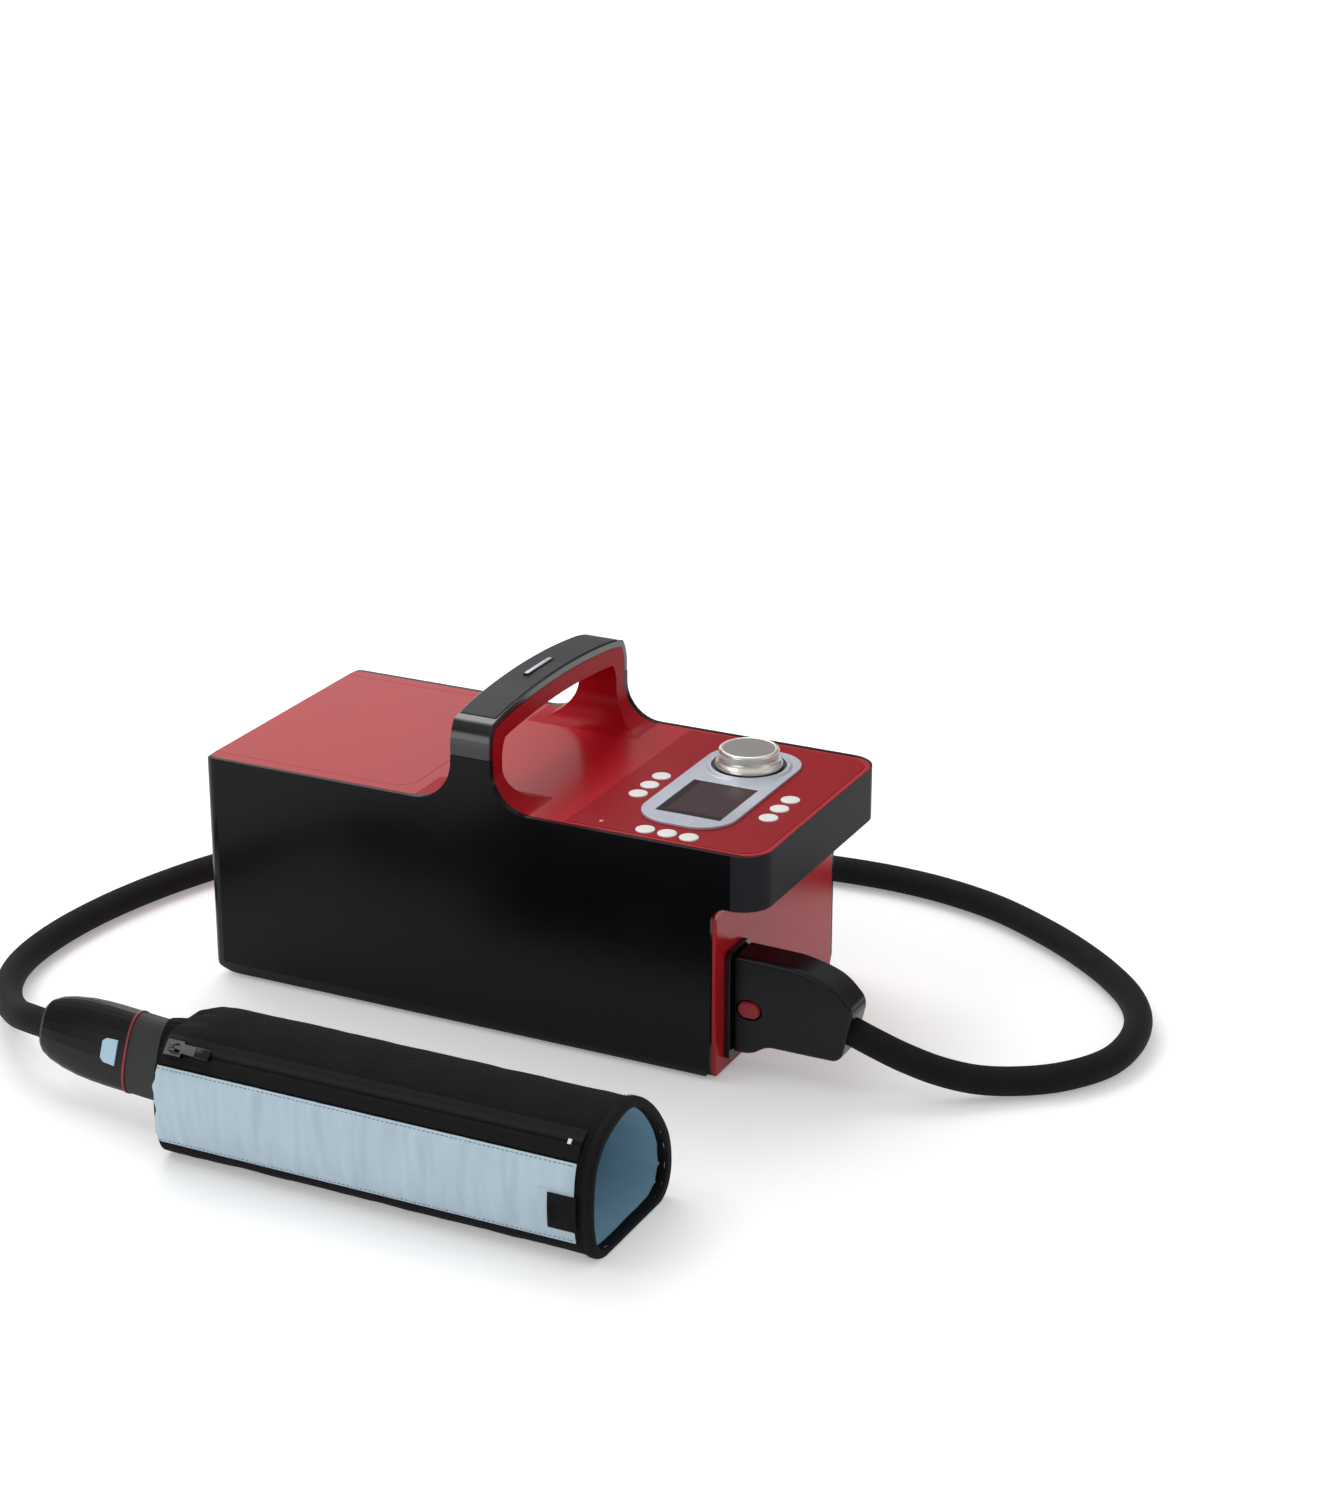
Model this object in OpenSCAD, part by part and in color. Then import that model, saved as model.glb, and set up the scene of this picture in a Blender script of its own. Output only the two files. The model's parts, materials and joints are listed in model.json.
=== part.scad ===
// Cold and compression therapy unit: a carried control unit with an ice water
// reservoir, a sleeved hose with a plug at each end, and a rolled limb wrap.
// Origin: middle of the unit's base, on the floor. X runs along the unit towards
// its control panel, Y away from the front view, Z up. Millimetres.

/* [Control unit] */
// Length of the unit, end to end of its shells
unit_l = 413; // [405:1:420]
// Width of the unit over its side shells
unit_w = 197; // [194:1:200]
// Height of the flat deck above the floor
deck_z = 161; // [158:1:164]
// Height of the handle's top above the floor
handle_z = 230; // [224:1:236]
// Thickness of the black side shells and of the housing's walls
skin = 3; // [2.6:0.1:3.4]
// Height of the visor band that hangs over the end wall
visor_h = 37.5; // [36:0.5:40]
// How far the visor stands out past the end wall
visor_reach = 32; // [30:1:34]

/* [Handle] */
// Width of the handle along the unit
handle_w = 29; // [26:1:32]
// Thickness of the whole handle, cover and liner together
handle_t = 17; // [15:0.5:18]
// Thickness of the black cover alone
cover_t = 5; // [4.4:0.2:6.2]
// Radius of the fillet from the deck up to the handle, lid side
fillet_lid = 30; // [26:1:32]
// Radius of the fillet from the deck up to the handle, panel side
fillet_panel = 26; // [22:1:30]

/* [Controls] */
// Diameter of each push button
button_d = 12.7; // [11:0.1:13]
// How far a button travels when pressed
button_travel = 0.8; // [0.6:0.1:1]
// Diameter of the knob at its base
knob_d = 49; // [46:1:51]
// Height of the knob above the bezel
knob_h = 12.5; // [11:0.5:15]

/* [Hose and plugs] */
// Outside diameter of the sleeved hose
hose_d = 19; // [18:0.5:20]
// Thickness of the plug on the unit, front to back
plug_t = 26; // [24:1:30]
// Width of the plug on the wrap
wrap_plug_w = 53; // [50:1:58]
// How far the wrap's plug leans back from upright, degrees
wrap_plug_lean = 19; // [15:1:30]

/* [Wrap] */
// Where the rolled wrap's open end lies along X
wrap_end_x = 213; // [205:1:216]
// Thickness of the fabric lining
lining_t = 1.2; // [1:0.1:1.5]
// Thickness of the light panel sewn to the front
panel_t = 1.6; // [1.2:0.1:2]

/* [Hidden] */
$fn = 64;

black = [0.085, 0.085, 0.105];
red = [0.62, 0.09, 0.12];
deep_red = [0.55, 0.11, 0.14];
silver = [0.76, 0.77, 0.74];
rubber = [0.2, 0.21, 0.2];
white = [0.95, 0.95, 0.93];
blue = [0.72, 0.83, 0.88];
board_green = [0.12, 0.36, 0.22];

// --- the unit's main planes ---
x0 = -unit_l / 2;
x1 = unit_l / 2;
side_y = unit_w / 2;
in_y = side_y - skin;
body_x0 = x0 + skin;
end_x = x1 - visor_reach;
visor_z = deck_z - visor_h;
visor_r = 20;
visor_t = 2.4;
lip_h = 1;
visor_join_x = x1 - visor_r;
base_z = 2.4;
bevel_z = 9;
bevel_in = 4;
wall_in = skin;
panel_edge_x = end_x - 1.5;
return_l = 8;
screw_xy = [for (x = [-190, -44, 140], y = [-87, 87]) [x, y]];
screw_r = 1.5;
screw_head_r = 3;
pillar_r = 4;
pillar_h = 30;

// --- handle ---
hx0 = 1 - handle_w / 2;
hx1 = 1 + handle_w / 2;
hand_r = 29;
hand_crown = 380;
leg_split_z = 195;
gap_z = handle_z - handle_t;
gap_y = side_y - handle_t;
grip_t = 1.5;
grip_proud = 0.4;
grip_y = 86;

// --- lid and reservoir ---
lid_x1 = -52.9;
lid_y = 86;
lid_t = 2.4;
lid_rim = 2.8;
ledge_z = deck_z - 7;
skirt_h = 15.5;
lid_corner = 14;
seam = 0.3;
hinge_r = 2;
hinge_x = lid_x1 + seam / 2;
hinge_z = deck_z + 0.2;
hinge_l = 44;
pin_r = 0.9;
pin_play = 0.05;
knuckle_y = [-11, 11];
knuckle_l = 8;
tub_x = [-188, -64];
tub_y = 77;
tub_z = [22, deck_z - 5];
tub_wall = 2.5;
flange_w = 3.5;
tub_r = 14;

// --- works ---
floor_z = base_z + 3;
water_y = 30;
water_z = 34;
tube_r = 4;
pump_x = -36;
pump_out_z = 60;
air_y = -40;
air_out_z = 60;
block_x = 100;
block_h = 22;
jack_yz = [40, 42];
jack_r = 7;

// --- control panel ---
overlay_x = [67, x1 - 4];
overlay_t = 0.5;
overlay_rise = 0.3;
bezel_c = [133.5, 3];
bezel_size = [66, 146];
bezel_r = 25;
bezel_t = 1.8;
knob_c = [134, 43];
knob_seat_r = 27.5;
lcd_x = [111.5, 158];
lcd_y = [-53, 6];
shaft_r = 3;
button_z = 1.4;
button_xy = [
    [88, -30], [88, -13], [88, 4.4],
    [182, -31], [182, -13.8], [182, 3.3],
    [119.5, -83], [135, -83], [150.3, -83]
];
led_xy = [87.6, -82.1];

// --- plug on the unit ---
plug_y = -63;
plug_x = 178.5;
plug_button_xz = [190, 46];
nipple_z = [30, 46, 66];
nipple_r = 5;
plug_outline = [
    [0, 13.5], [0, 82.5], [51, 81.5], [71, 72.5], [84, 59], [75, 21.5], [24, 21.5], [13, 14.5]
];
plug_center = [40, 49];

// --- plug on the wrap, along its own axis from the hose end ---
wp_start = [-213, -278, 38];
wp_yaw = -6;
wp_len = 75;
wp_t = 23;
port_len = 40;
wp_rings = [
    [3, 13.5, 8.4], [3.7, 16, 9.8], [6, 18.2, 10.7], [12, 21, 11.2], [22, 23.6, 11.5], [34, 25.4, 11.7],
    [46, 26.2, 11.7], [58, 26.5, 11.6], [75, 26.4, 11.5]
];

// --- route of the hose, its middle line, plug to plug ---
hose_route = [
    [254, -63, 41], [272, -63, 35], [292, -61, 28], [314, -54, 20], [336, -41, 13], [360, -24, 10],
    [382, -5, 10], [399, 24, 10], [403, 58, 10], [397, 92, 10], [382, 122, 10], [360, 148, 10],
    [332, 173, 10], [297, 198, 10], [251, 223, 10], [205, 237, 10], [160, 242, 10], [115, 240, 10],
    [60, 233, 10], [0, 222, 10], [-60, 207, 10], [-120, 187, 10], [-175, 162, 10], [-222, 131, 10],
    [-262, 95, 10], [-290, 56, 10], [-309, 10, 10], [-322, -40, 10], [-328, -85, 10],
    [-328, -125, 10], [-321, -162, 11], [-305, -196, 14], [-282, -227, 19], [-256, -252, 26],
    [-232, -269, 34], [-205, -278.8, 38]
];
hose_steps = 2;
hose_sides = 10;

// --- section of the rolled wrap: outside and inside, seen along X ---
wrap_out = [
    [-320, 0], [-336, 6], [-342, 24], [-342, 46], [-338, 64], [-326, 77.5], [-306, 84.5], [-287, 84.5],
    [-268, 74], [-251, 56], [-240, 36], [-239, 14], [-251, 1], [-284, 0]
];
wrap_in = [
    [-318, 6], [-331, 10], [-337, 25], [-337, 45], [-333, 60], [-323, 70.5], [-305, 78], [-289, 78],
    [-272, 69], [-257, 53], [-249, 37], [-249, 18], [-260, 8], [-285, 6]
];
wrap_ring_x = [-112, -100, -92, -87, -75, -66, -58, 40, 150, wrap_end_x - 8, wrap_end_x];
hood_mix = [1, 0.9, 0.62, 0.42, 0.15, 0.04, 0, 0, 0, 0, 0];
front_mix = [1, 1, 0.92, 0, 0, 0, 0, 0, 0, 0, 0];
front_share = [[0, 1], [5, 1], [6, 0], [11.5, 0], [13, 1], [14, 1]];
neck_c = [-289.2, 38];
neck_half = [26.1, 11.2];
neck_wall = 2.2;
lining_x = -58;
tape_t = 0.8;
teeth_h = 1.2;
pull_z = 6.6;
pull_pin_r = 0.8;
pull_rest = 10;
around = 56;
panel_s = [1.5, 4];
panel_x = [-87, wrap_end_x - 10];
zip_s = [4.25, 5];
zip_x = [-84, wrap_end_x - 12];
slider_x = -74;
slider_travel = 250;
tab_x = [189, 204];
tab_s = [2, 2.75];
binding_w = 8;
binding_t = 1.5;

// --- profiles swept along one axis ---
module along_y(y0, h) translate([0, y0 + h, 0]) rotate([90, 0, 0]) linear_extrude(h) children();
module along_x(xs, h) translate([xs, 0, 0]) rotate([90, 0, 90]) linear_extrude(h) children();
module along_z(z0, h) translate([0, 0, z0]) linear_extrude(h) children();

// Rectangle with round corners, from corner [ax, ay] to corner [bx, by]
module rounded(ax, ay, bx, by, r) {
    translate([ax + r, ay]) square([bx - ax - 2 * r, by - ay]);
    translate([ax, ay + r]) square([bx - ax, by - ay - 2 * r]);
    for (px = [ax + r, bx - r], py = [ay + r, by - r]) translate([px, py]) circle(r);
}

// Concave corner piece: fills the corner at [cx, cy] towards [sx, sy]
module cove(cx, cy, r, sx, sy) {
    difference() {
        translate([min(cx, cx + sx * r), min(cy, cy + sy * r)]) square(r);
        translate([cx + sx * r, cy + sy * r]) circle(r);
    }
}

// Outline of the unit from the side: panel, visor band and the handle's leg
module side_profile() {
    difference() {
        rounded(x0, base_z, end_x + 4, deck_z, 5);
        cove(x0, base_z, 9, 1, 1);
        translate([panel_edge_x, 0]) square([20, visor_z]);
    }
    translate([end_x - 20, visor_z]) square([visor_join_x - end_x + 20, visor_h]);
    cove(panel_edge_x, visor_z, 10, 1, -1);
    translate([hx0, deck_z - 1]) square([handle_w, leg_split_z - deck_z + 1]);
    cove(hx0, deck_z, fillet_lid, -1, 1);
    cove(hx1, deck_z, fillet_panel, 1, 1);
}

// Plan of the two side shells with their returns round the lid end
module shell_plan() {
    difference() {
        rounded(x0, -side_y, x1 + 60, side_y, 10);
        rounded(body_x0, -in_y, x1 + 70, in_y, 7);
        translate([visor_join_x, -side_y - 1]) square([200, unit_w + 2]);
        translate([x0 - 1, -in_y + return_l]) square([60, 2 * (in_y - return_l)]);
    }
}

// Line of the lower bevel, from its top on a face at y down to the base
function bevel_line(y) = [[y, base_z + bevel_z], [y + bevel_in, base_z]];

// All that lies outside the bevel of a face at y
module outside_bevel(y) {
    l = bevel_line(y);
    along_x(x0 - 1, unit_l + 2) polygon([[y - 9, l[0][1]], l[0], l[1], [l[1][0], -5], [y - 9, -5]]);
}

// The shell's lower edge, turned in along the bevel
module bevel_lip() {
    o = bevel_line(-side_y);
    i = bevel_line(-in_y);
    along_x(x0 + 10, end_x - x0 - 16) polygon([o[0], o[1], i[1], i[0]]);
}

module front_shell() {
    difference() {
        intersection() {
            along_y(-side_y - 1, 40) side_profile();
            union() {
                along_z(0, deck_z) shell_plan();
                translate([hx0 - 60, -side_y, deck_z]) cube([150, cover_t, leg_split_z - deck_z]);
                bevel_lip();
            }
        }
        outside_bevel(-side_y);
    }
}

module side_shell_front() { color(black) front_shell(); }
module side_shell_back() { color(black) mirror([0, 1, 0]) front_shell(); }

module front_visor() {
    color(black) difference() {
        along_z(visor_z, visor_h) intersection() {
            difference() {
                rounded(0, -side_y, x1, side_y, visor_r);
                rounded(-10, -in_y, x1 - visor_t, in_y, visor_r - visor_t);
            }
            translate([visor_join_x, -side_y]) square([visor_r, unit_w]);
        }
        visor_lip(0);
    }
}

// --- the red moulded housing ---
module deck_cuts() {
    for (p = button_xy) translate([p[0], p[1], deck_z - 20]) cylinder(d = button_d + 0.5, h = 30);
    translate([led_xy[0], led_xy[1], deck_z - 20]) cylinder(d = 3.1, h = 30);
    translate([knob_c[0], knob_c[1], deck_z - 20]) cylinder(r = shaft_r + 3.2, h = 30);
    translate([lcd_x[0] + 3, lcd_y[0] + 3, deck_z - 20])
        cube([lcd_x[1] - lcd_x[0] - 6, lcd_y[1] - lcd_y[0] - 22, 30]);
}

// Plan of the housing: round where the side shells return, crisp at the end wall
module body_plan() {
    intersection() {
        rounded(body_x0, -in_y, end_x + 30, in_y, 7);
        rounded(body_x0 - 30, -in_y, end_x, in_y, 4);
    }
}

// Deck's front lip, which lies over the visor's top edge
module visor_lip(grow) {
    along_z(deck_z - lip_h - grow, lip_h + grow) rounded(end_x, -in_y, x1 - 0.6, in_y, visor_r - 0.6);
}

module body_outer() {
    along_z(base_z, deck_z - base_z) body_plan();
    along_z(visor_z, visor_h) rounded(end_x - 30, -in_y, x1 - visor_t, in_y, visor_r - visor_t);
    visor_lip(0);
    along_y(-in_y, 2 * in_y) cove(end_x, visor_z, 10, 1, -1);
}

// Hollow of the housing: under the lid's ledge, under the deck and in the visor
module body_cavity() {
    inner = in_y - wall_in;
    along_z(-1, ledge_z - 4) rounded(body_x0 + wall_in, -inner, end_x - wall_in, inner, 2);
    along_z(-1, deck_z - wall_in + 1) rounded(lid_x1 + 4, -inner, end_x - wall_in, inner, 2);
    along_z(visor_z + wall_in, visor_h - 2 * wall_in)
        rounded(end_x - 20, -inner, x1 - visor_t - wall_in, inner, 14);
}

// Pillars that take the base screws
module screw_pillars() {
    web_y = in_y - wall_in + 0.5;
    for (p = screw_xy) translate([p[0], p[1], base_z + 5]) difference() {
        union() {
            cylinder(r = pillar_r, h = pillar_h);
            translate([-2.5, p[1] > 0 ? 0 : -web_y - p[1], 0]) cube([5, web_y - abs(p[1]), pillar_h]);
        }
        translate([0, 0, -1]) cylinder(r = screw_r, h = 9);
    }
}

module inner_body() {
    color(red) {
        difference() {
            body_outer();
            body_cavity();
            along_z(ledge_z, 20) lid_plan(seam);
            along_z(ledge_z - 20, 40)
                rounded(tub_x[0] - 0.4, -tub_y - 0.4, tub_x[1] + 0.4, tub_y + 0.4, tub_r);
            translate([body_x0 - 1, -lid_y - seam, deck_z - skirt_h - 0.5])
                cube([skin + 1, 2 * (lid_y + seam), 30]);
            along_z(deck_z - overlay_t, 5) overlay_plan(0.1);
            deck_cuts();
            translate([end_x - 10, plug_y - 15, 17]) cube([20, 30, 62]);
            translate([body_x0 - 1, jack_yz[0], jack_yz[1]]) rotate([0, 90, 0]) cylinder(r = jack_r + 0.1, h = 10);
            for (side = [0, 1]) mirror([0, side, 0]) outside_bevel(-in_y);
            hinge_rod(hinge_r + 0.4, hinge_l + 0.8);
        }
        hinge_knuckles();
        screw_pillars();
    }
}

module lid_plan(grow) {
    intersection() {
        rounded(body_x0 - 40, -lid_y - grow, lid_x1 + grow, lid_y + grow, lid_corner);
        translate([body_x0 - 2, -200]) square([200, 400]);
    }
}

module overlay_plan(grow) {
    intersection() {
        rounded(0, -in_y + 4 - grow, overlay_x[1] + grow, in_y - 4 + grow, 16);
        translate([overlay_x[0] - grow, -100]) square([200, 200]);
    }
}

// Rod of radius r and length l on the lid's hinge line, with its middle at y
module hinge_rod(r, l, y = 0) { translate([hinge_x, y + l / 2, hinge_z]) rotate([90, 0, 0]) cylinder(r = r, h = l); }

// Fixed knuckles of the lid's hinge, carried by the deck's edge
module hinge_knuckles() {
    difference() {
        for (y = knuckle_y) {
            hinge_rod(hinge_r, knuckle_l, y);
            translate([hinge_x, y - knuckle_l / 2, deck_z - 3]) cube([4, knuckle_l, 3]);
        }
        hinge_rod(pin_r + pin_play, hinge_l);
    }
}

module base_pan() {
    edge_y = in_y - bevel_in - 0.2;
    color(rubber) difference() {
        union() {
            difference() {
                along_z(base_z, 5) rounded(body_x0 + wall_in, -edge_y, end_x - wall_in, edge_y, 2);
                along_z(base_z + 3, 5) rounded(body_x0 + 6, -edge_y + 3, end_x - 6, edge_y - 3, 2);
            }
            for (p = screw_xy) translate([p[0], p[1], base_z + 1]) cylinder(r = pillar_r, h = 4);
        }
        for (x = [34:9:124], y = [-40, 40]) translate([x, y - 22, 0]) cube([4, 44, 20]);
        for (p = screw_xy) translate([p[0], p[1], 0]) cylinder(r = screw_r + 0.2, h = 20);
    }
}

// One moulded rubber foot: two rails along the sides and a cross bar
module rubber_foot() {
    rail = [x0 + 28, end_x - 14];
    color(rubber) difference() {
        along_z(0, base_z) {
            for (y = [-83, 71]) rounded(rail[0], y, rail[1], y + 12, 5.9);
            translate([-20, -75]) square([40, 150]);
        }
        for (p = screw_xy) translate([p[0], p[1], -1]) cylinder(r = screw_head_r + 0.4, h = 20);
    }
}

// --- handle ---
// Outline of the arch across the unit, drawn in Y and Z and shrunk by t
module arch_outer(t) {
    intersection() {
        rounded(-side_y + t, 60, side_y - t, handle_z - t, hand_r - t);
        translate([0, handle_z - hand_crown]) circle(hand_crown - t, $fn = 256);
    }
}

module arch_gap() {
    intersection() {
        rounded(-gap_y, deck_z, gap_y, gap_z, 22);
        translate([0, handle_z - hand_crown]) circle(hand_crown - handle_t, $fn = 256);
    }
}

module leg_profile() {
    translate([hx0, deck_z]) square([handle_w, handle_z]);
    cove(hx0, deck_z, fillet_lid, -1, 1);
    cove(hx1, deck_z, fillet_panel, 1, 1);
}

module handle_liner() {
    color(red) difference() {
        intersection() {
            along_y(-side_y, unit_w) leg_profile();
            along_x(-100, 200) arch_outer(cover_t);
        }
        along_x(-100, 200) arch_gap();
    }
}

module handle_cover() {
    color(black) difference() {
        along_x(hx0, handle_w) difference() {
            arch_outer(0);
            arch_outer(cover_t);
            translate([-200, 0]) square([400, leg_split_z]);
        }
        along_x(hx0 + 1.5, handle_w - 3) grip_band(0);
    }
}

module grip_band(proud) {
    intersection() {
        difference() {
            arch_outer(-proud);
            arch_outer(grip_t);
        }
        translate([-grip_y, leg_split_z]) square([2 * grip_y, 60]);
    }
}

module handle_grip() {
    color(rubber) {
        along_x(hx0 + 1.5, handle_w - 3) grip_band(grip_proud);
        translate([-1, -22, handle_z - 0.6]) cube([4, 36, 1.8]);
    }
}

// --- control panel ---
module control_overlay() {
    color(deep_red) difference() {
        along_z(deck_z - overlay_t, overlay_t + overlay_rise) overlay_plan(0);
        along_z(deck_z - 3, 10) bezel_seat();
        for (p = button_xy) translate([p[0], p[1], deck_z - 20]) cylinder(d = button_d + 0.3, h = 30);
        translate([led_xy[0], led_xy[1], deck_z - 20]) cylinder(d = 3.1, h = 30);
    }
}

// Plan of the display's window, cut round by the knob's seat
module window_plan(shrink) {
    difference() {
        translate([lcd_x[0] + shrink, lcd_y[0] + shrink])
            square([lcd_x[1] - lcd_x[0] - 2 * shrink, lcd_y[1] - lcd_y[0] - 2 * shrink]);
        translate(knob_c) circle(knob_seat_r + 1.7 + shrink);
    }
}

module display_bezel() {
    w = bezel_size[0] / 2;
    l = bezel_size[1] / 2;
    top = deck_z + overlay_rise + bezel_t;
    color(silver) difference() {
        union() {
            along_z(deck_z - overlay_t, overlay_t + overlay_rise) bezel_seat();
            along_z(deck_z + overlay_rise, bezel_t)
                rounded(bezel_c[0] - w, bezel_c[1] - l, bezel_c[0] + w, bezel_c[1] + l, bezel_r);
            translate([knob_c[0], knob_c[1], top])
                cylinder(r1 = knob_seat_r + 1.6, r2 = knob_seat_r, h = 1.6);
        }
        along_z(top - 1.3, 10) window_plan(0);
        translate([lcd_x[0] + 3, lcd_y[0] + 3, deck_z - 20])
            cube([lcd_x[1] - lcd_x[0] - 6, lcd_y[1] - lcd_y[0] - 22, 30]);
        translate([knob_c[0], knob_c[1], deck_z - 20]) cylinder(r = shaft_r + 3.2, h = 40);
        translate([knob_c[0], knob_c[1], top]) cylinder(r = knob_d / 2 + 0.8, h = 10);
    }
}

// Opening in the overlay that the bezel drops into
module bezel_seat() {
    rounded(bezel_c[0] - 31, bezel_c[1] - 71, bezel_c[0] + 31, bezel_c[1] + 71, 24);
}

module lcd_window() {
    color([0.3, 0.24, 0.25]) along_z(deck_z + overlay_rise + bezel_t - 1.3, 1) window_plan(0.2);
}

// Board under the deck: switches, display module and the encoder's bush
module panel_board() {
    low = deck_z - 9;
    top = low + 1.6;
    color(board_green) difference() {
        translate([76, -89, low]) cube([115, 172, 1.6]);
        translate([knob_c[0], knob_c[1], low - 1]) cylinder(r = shaft_r + 1, h = 4);
    }
    color(board_green) for (x = [79, 187], y = [-68, 70]) translate([x, y, top]) cylinder(r = 2.5, h = 4.4);
    color(rubber) for (p = button_xy) translate([p[0] - 4, p[1] - 3.2, top]) cube([8, 6.4, 2]);
    color(rubber) translate([lcd_x[0] + 1, lcd_y[0] + 1, top]) cube([lcd_x[1] - lcd_x[0] - 2, 52, 3]);
    color(silver) translate([knob_c[0], knob_c[1], top]) difference() {
        cylinder(r = shaft_r + 3, h = 6);
        translate([0, 0, -1]) cylinder(r = shaft_r + 0.05, h = 9);
    }
}

module status_led() {
    color(white) translate([led_xy[0], led_xy[1], deck_z - 7.4]) {
        cylinder(r = 1.5, h = 7.9);
        cylinder(r = 2.2, h = 1.2);
    }
}

module push_button(i) {
    p = button_xy[i];
    color(white) translate([p[0], p[1], deck_z - 4.2]) {
        cylinder(d = button_d, h = 4.2 + button_z - 0.6);
        translate([0, 0, 4.2 + button_z - 0.6]) cylinder(d1 = button_d, d2 = button_d - 3, h = 0.6);
        translate([0, 0, -0.3]) cylinder(d = 5, h = 0.4);
    }
}

// Encoder shaft with its stop collar, pressed down as one with the knob
module encoder_shaft() {
    color(silver) translate([knob_c[0], knob_c[1], deck_z - 14]) {
        cylinder(r = shaft_r, h = 23);
        cylinder(r = shaft_r + 1.6, h = 3);
    }
}

module control_knob() {
    z = deck_z + overlay_rise + bezel_t + 1;
    color(silver) translate([knob_c[0], knob_c[1], z]) difference() {
        rotate_extrude() polygon([
            [0, 0], [knob_d / 2 - 1.5, 0], [knob_d / 2, 1.5], [knob_d / 2 - 0.4, 3], [knob_d / 2 - 4, knob_h - 5],
            [knob_d / 2 - 4.6, knob_h - 3.4], [knob_d / 2 - 4.8, knob_h - 1.6], [knob_d / 2 - 6.4, knob_h - 0.2],
            [0, knob_h]
        ]);
        translate([0, 0, -1]) cylinder(r = shaft_r + 0.05, h = 7.4);
        translate([0, 0, -1]) difference() {
            cylinder(r = 17, h = 6);
            translate([0, 0, -1]) cylinder(r = 6, h = 8);
        }
    }
}

// --- lid and reservoir ---
// Outline set in from the tub's own by d
module tub_plan(d, r) { rounded(tub_x[0] + d, -tub_y + d, tub_x[1] - d, tub_y - d, r); }

module reservoir_lid() {
    gap = 0.4;
    low = ledge_z + 0.1;
    color(red) difference() {
        union() {
            along_z(low, deck_z - low) intersection() {
                lid_plan(0);
                translate([body_x0, -100]) square([200, 200]);
            }
            translate([body_x0, -lid_y, deck_z - skirt_h]) cube([2.4, 2 * lid_y, skirt_h]);
            hinge_rod(hinge_r, hinge_l);
        }
        along_z(low - 1, deck_z - lid_t - low + 1)
            rounded(body_x0 + 5, -lid_y + lid_rim, lid_x1 - 6, lid_y - lid_rim, 8);
        for (y = knuckle_y)
            translate([hinge_x - hinge_r - gap, y - knuckle_l / 2 - gap, deck_z - 5])
                cube([2 * hinge_r + 3, knuckle_l + 2 * gap, 20]);
        hinge_rod(pin_r + pin_play, hinge_l + 2);
        translate([body_x0 - 1, 0, deck_z - 22]) rotate([0, 90, 0]) cylinder(r = 16, h = 2);
    }
    color(red) along_z(ledge_z - 2, deck_z - lid_t - ledge_z + 2) difference() {
        tub_plan(8, 8);
        tub_plan(10.4, 6);
    }
}

module lid_seal() {
    color(rubber) along_z(tub_z[1] + 0.1, deck_z - lid_t - tub_z[1] - 0.1) difference() {
        tub_plan(0.5, 13);
        tub_plan(7.9, 8);
    }
}

module lid_hinge_pin() { color(silver) hinge_rod(pin_r, hinge_l); }

module reservoir_tub() {
    w = tub_wall;
    color([0.86, 0.87, 0.87]) difference() {
        union() {
            along_z(tub_z[0], tub_z[1] - tub_z[0]) tub_plan(0, tub_r);
            along_z(ledge_z, tub_z[1] - ledge_z) tub_plan(-flange_w, tub_r);
        }
        along_z(tub_z[0] + w, 200) tub_plan(w, tub_r - w);
        translate([tub_x[1] - 10, water_y, water_z]) rotate([0, 90, 0]) cylinder(r = tube_r, h = 20);
    }
}

module insulation_foam() {
    foot = base_z + 5;
    color([0.9, 0.9, 0.86]) difference() {
        along_z(foot, ledge_z - 6 - foot) rounded(body_x0 + wall_in, -in_y + 7, tub_x[1] + 12, in_y - 7, 3);
        along_z(tub_z[0], 200) tub_plan(0, tub_r);
        for (p = screw_xy) translate([p[0] - 5, p[1] - 5, 0]) cube([10, 10, foot + pillar_h + 0.5]);
        translate([body_x0, jack_yz[0], jack_yz[1]]) rotate([0, 90, 0]) cylinder(r = jack_r + 0.3, h = 14);
        translate([tub_x[1] - 10, water_y, water_z]) rotate([0, 90, 0]) cylinder(r = tube_r + 0.6, h = 40);
    }
}

// --- works inside the housing ---
module water_pump() {
    color(rubber) translate([pump_x, water_y, 0]) {
        translate([2, -16, floor_z]) cube([40, 32, 20]);
        translate([0, 0, water_z]) rotate([0, 90, 0]) cylinder(r = 15, h = 24);
        translate([24, 0, water_z]) rotate([0, 90, 0]) cylinder(r = 12.5, h = 38);
        translate([12, 0, water_z]) cylinder(r = tube_r + 1.5, h = pump_out_z - water_z);
    }
}

module air_compressor() {
    color(silver) translate([30, air_y, 0]) {
        translate([-18, -22, floor_z]) cube([64, 44, 5]);
        translate([-16, 0, floor_z + 24.4]) rotate([0, 90, 0]) cylinder(r = 19.5, h = 40);
        translate([24, -17, floor_z + 5]) cube([20, 34, 42]);
        translate([34, 0, floor_z + 47]) cylinder(r = tube_r + 1.5, h = air_out_z - floor_z - 47);
    }
}

// Manifold with its three solenoid valves and the riser behind the hose socket
module valve_block() {
    color([0.82, 0.78, 0.6]) translate([block_x, 0, floor_z]) {
        translate([0, -68, 0]) cube([44, 112, block_h]);
        translate([28, -70, 0]) cube([16, 14, 68]);
        for (y = [-30, -8, 14]) translate([16, y, block_h]) cube([24, 14, 22]);
        for (y = [-23, -1, 21]) translate([28, y, block_h + 22]) cylinder(r = 4.5, h = 3);
    }
}

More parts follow.
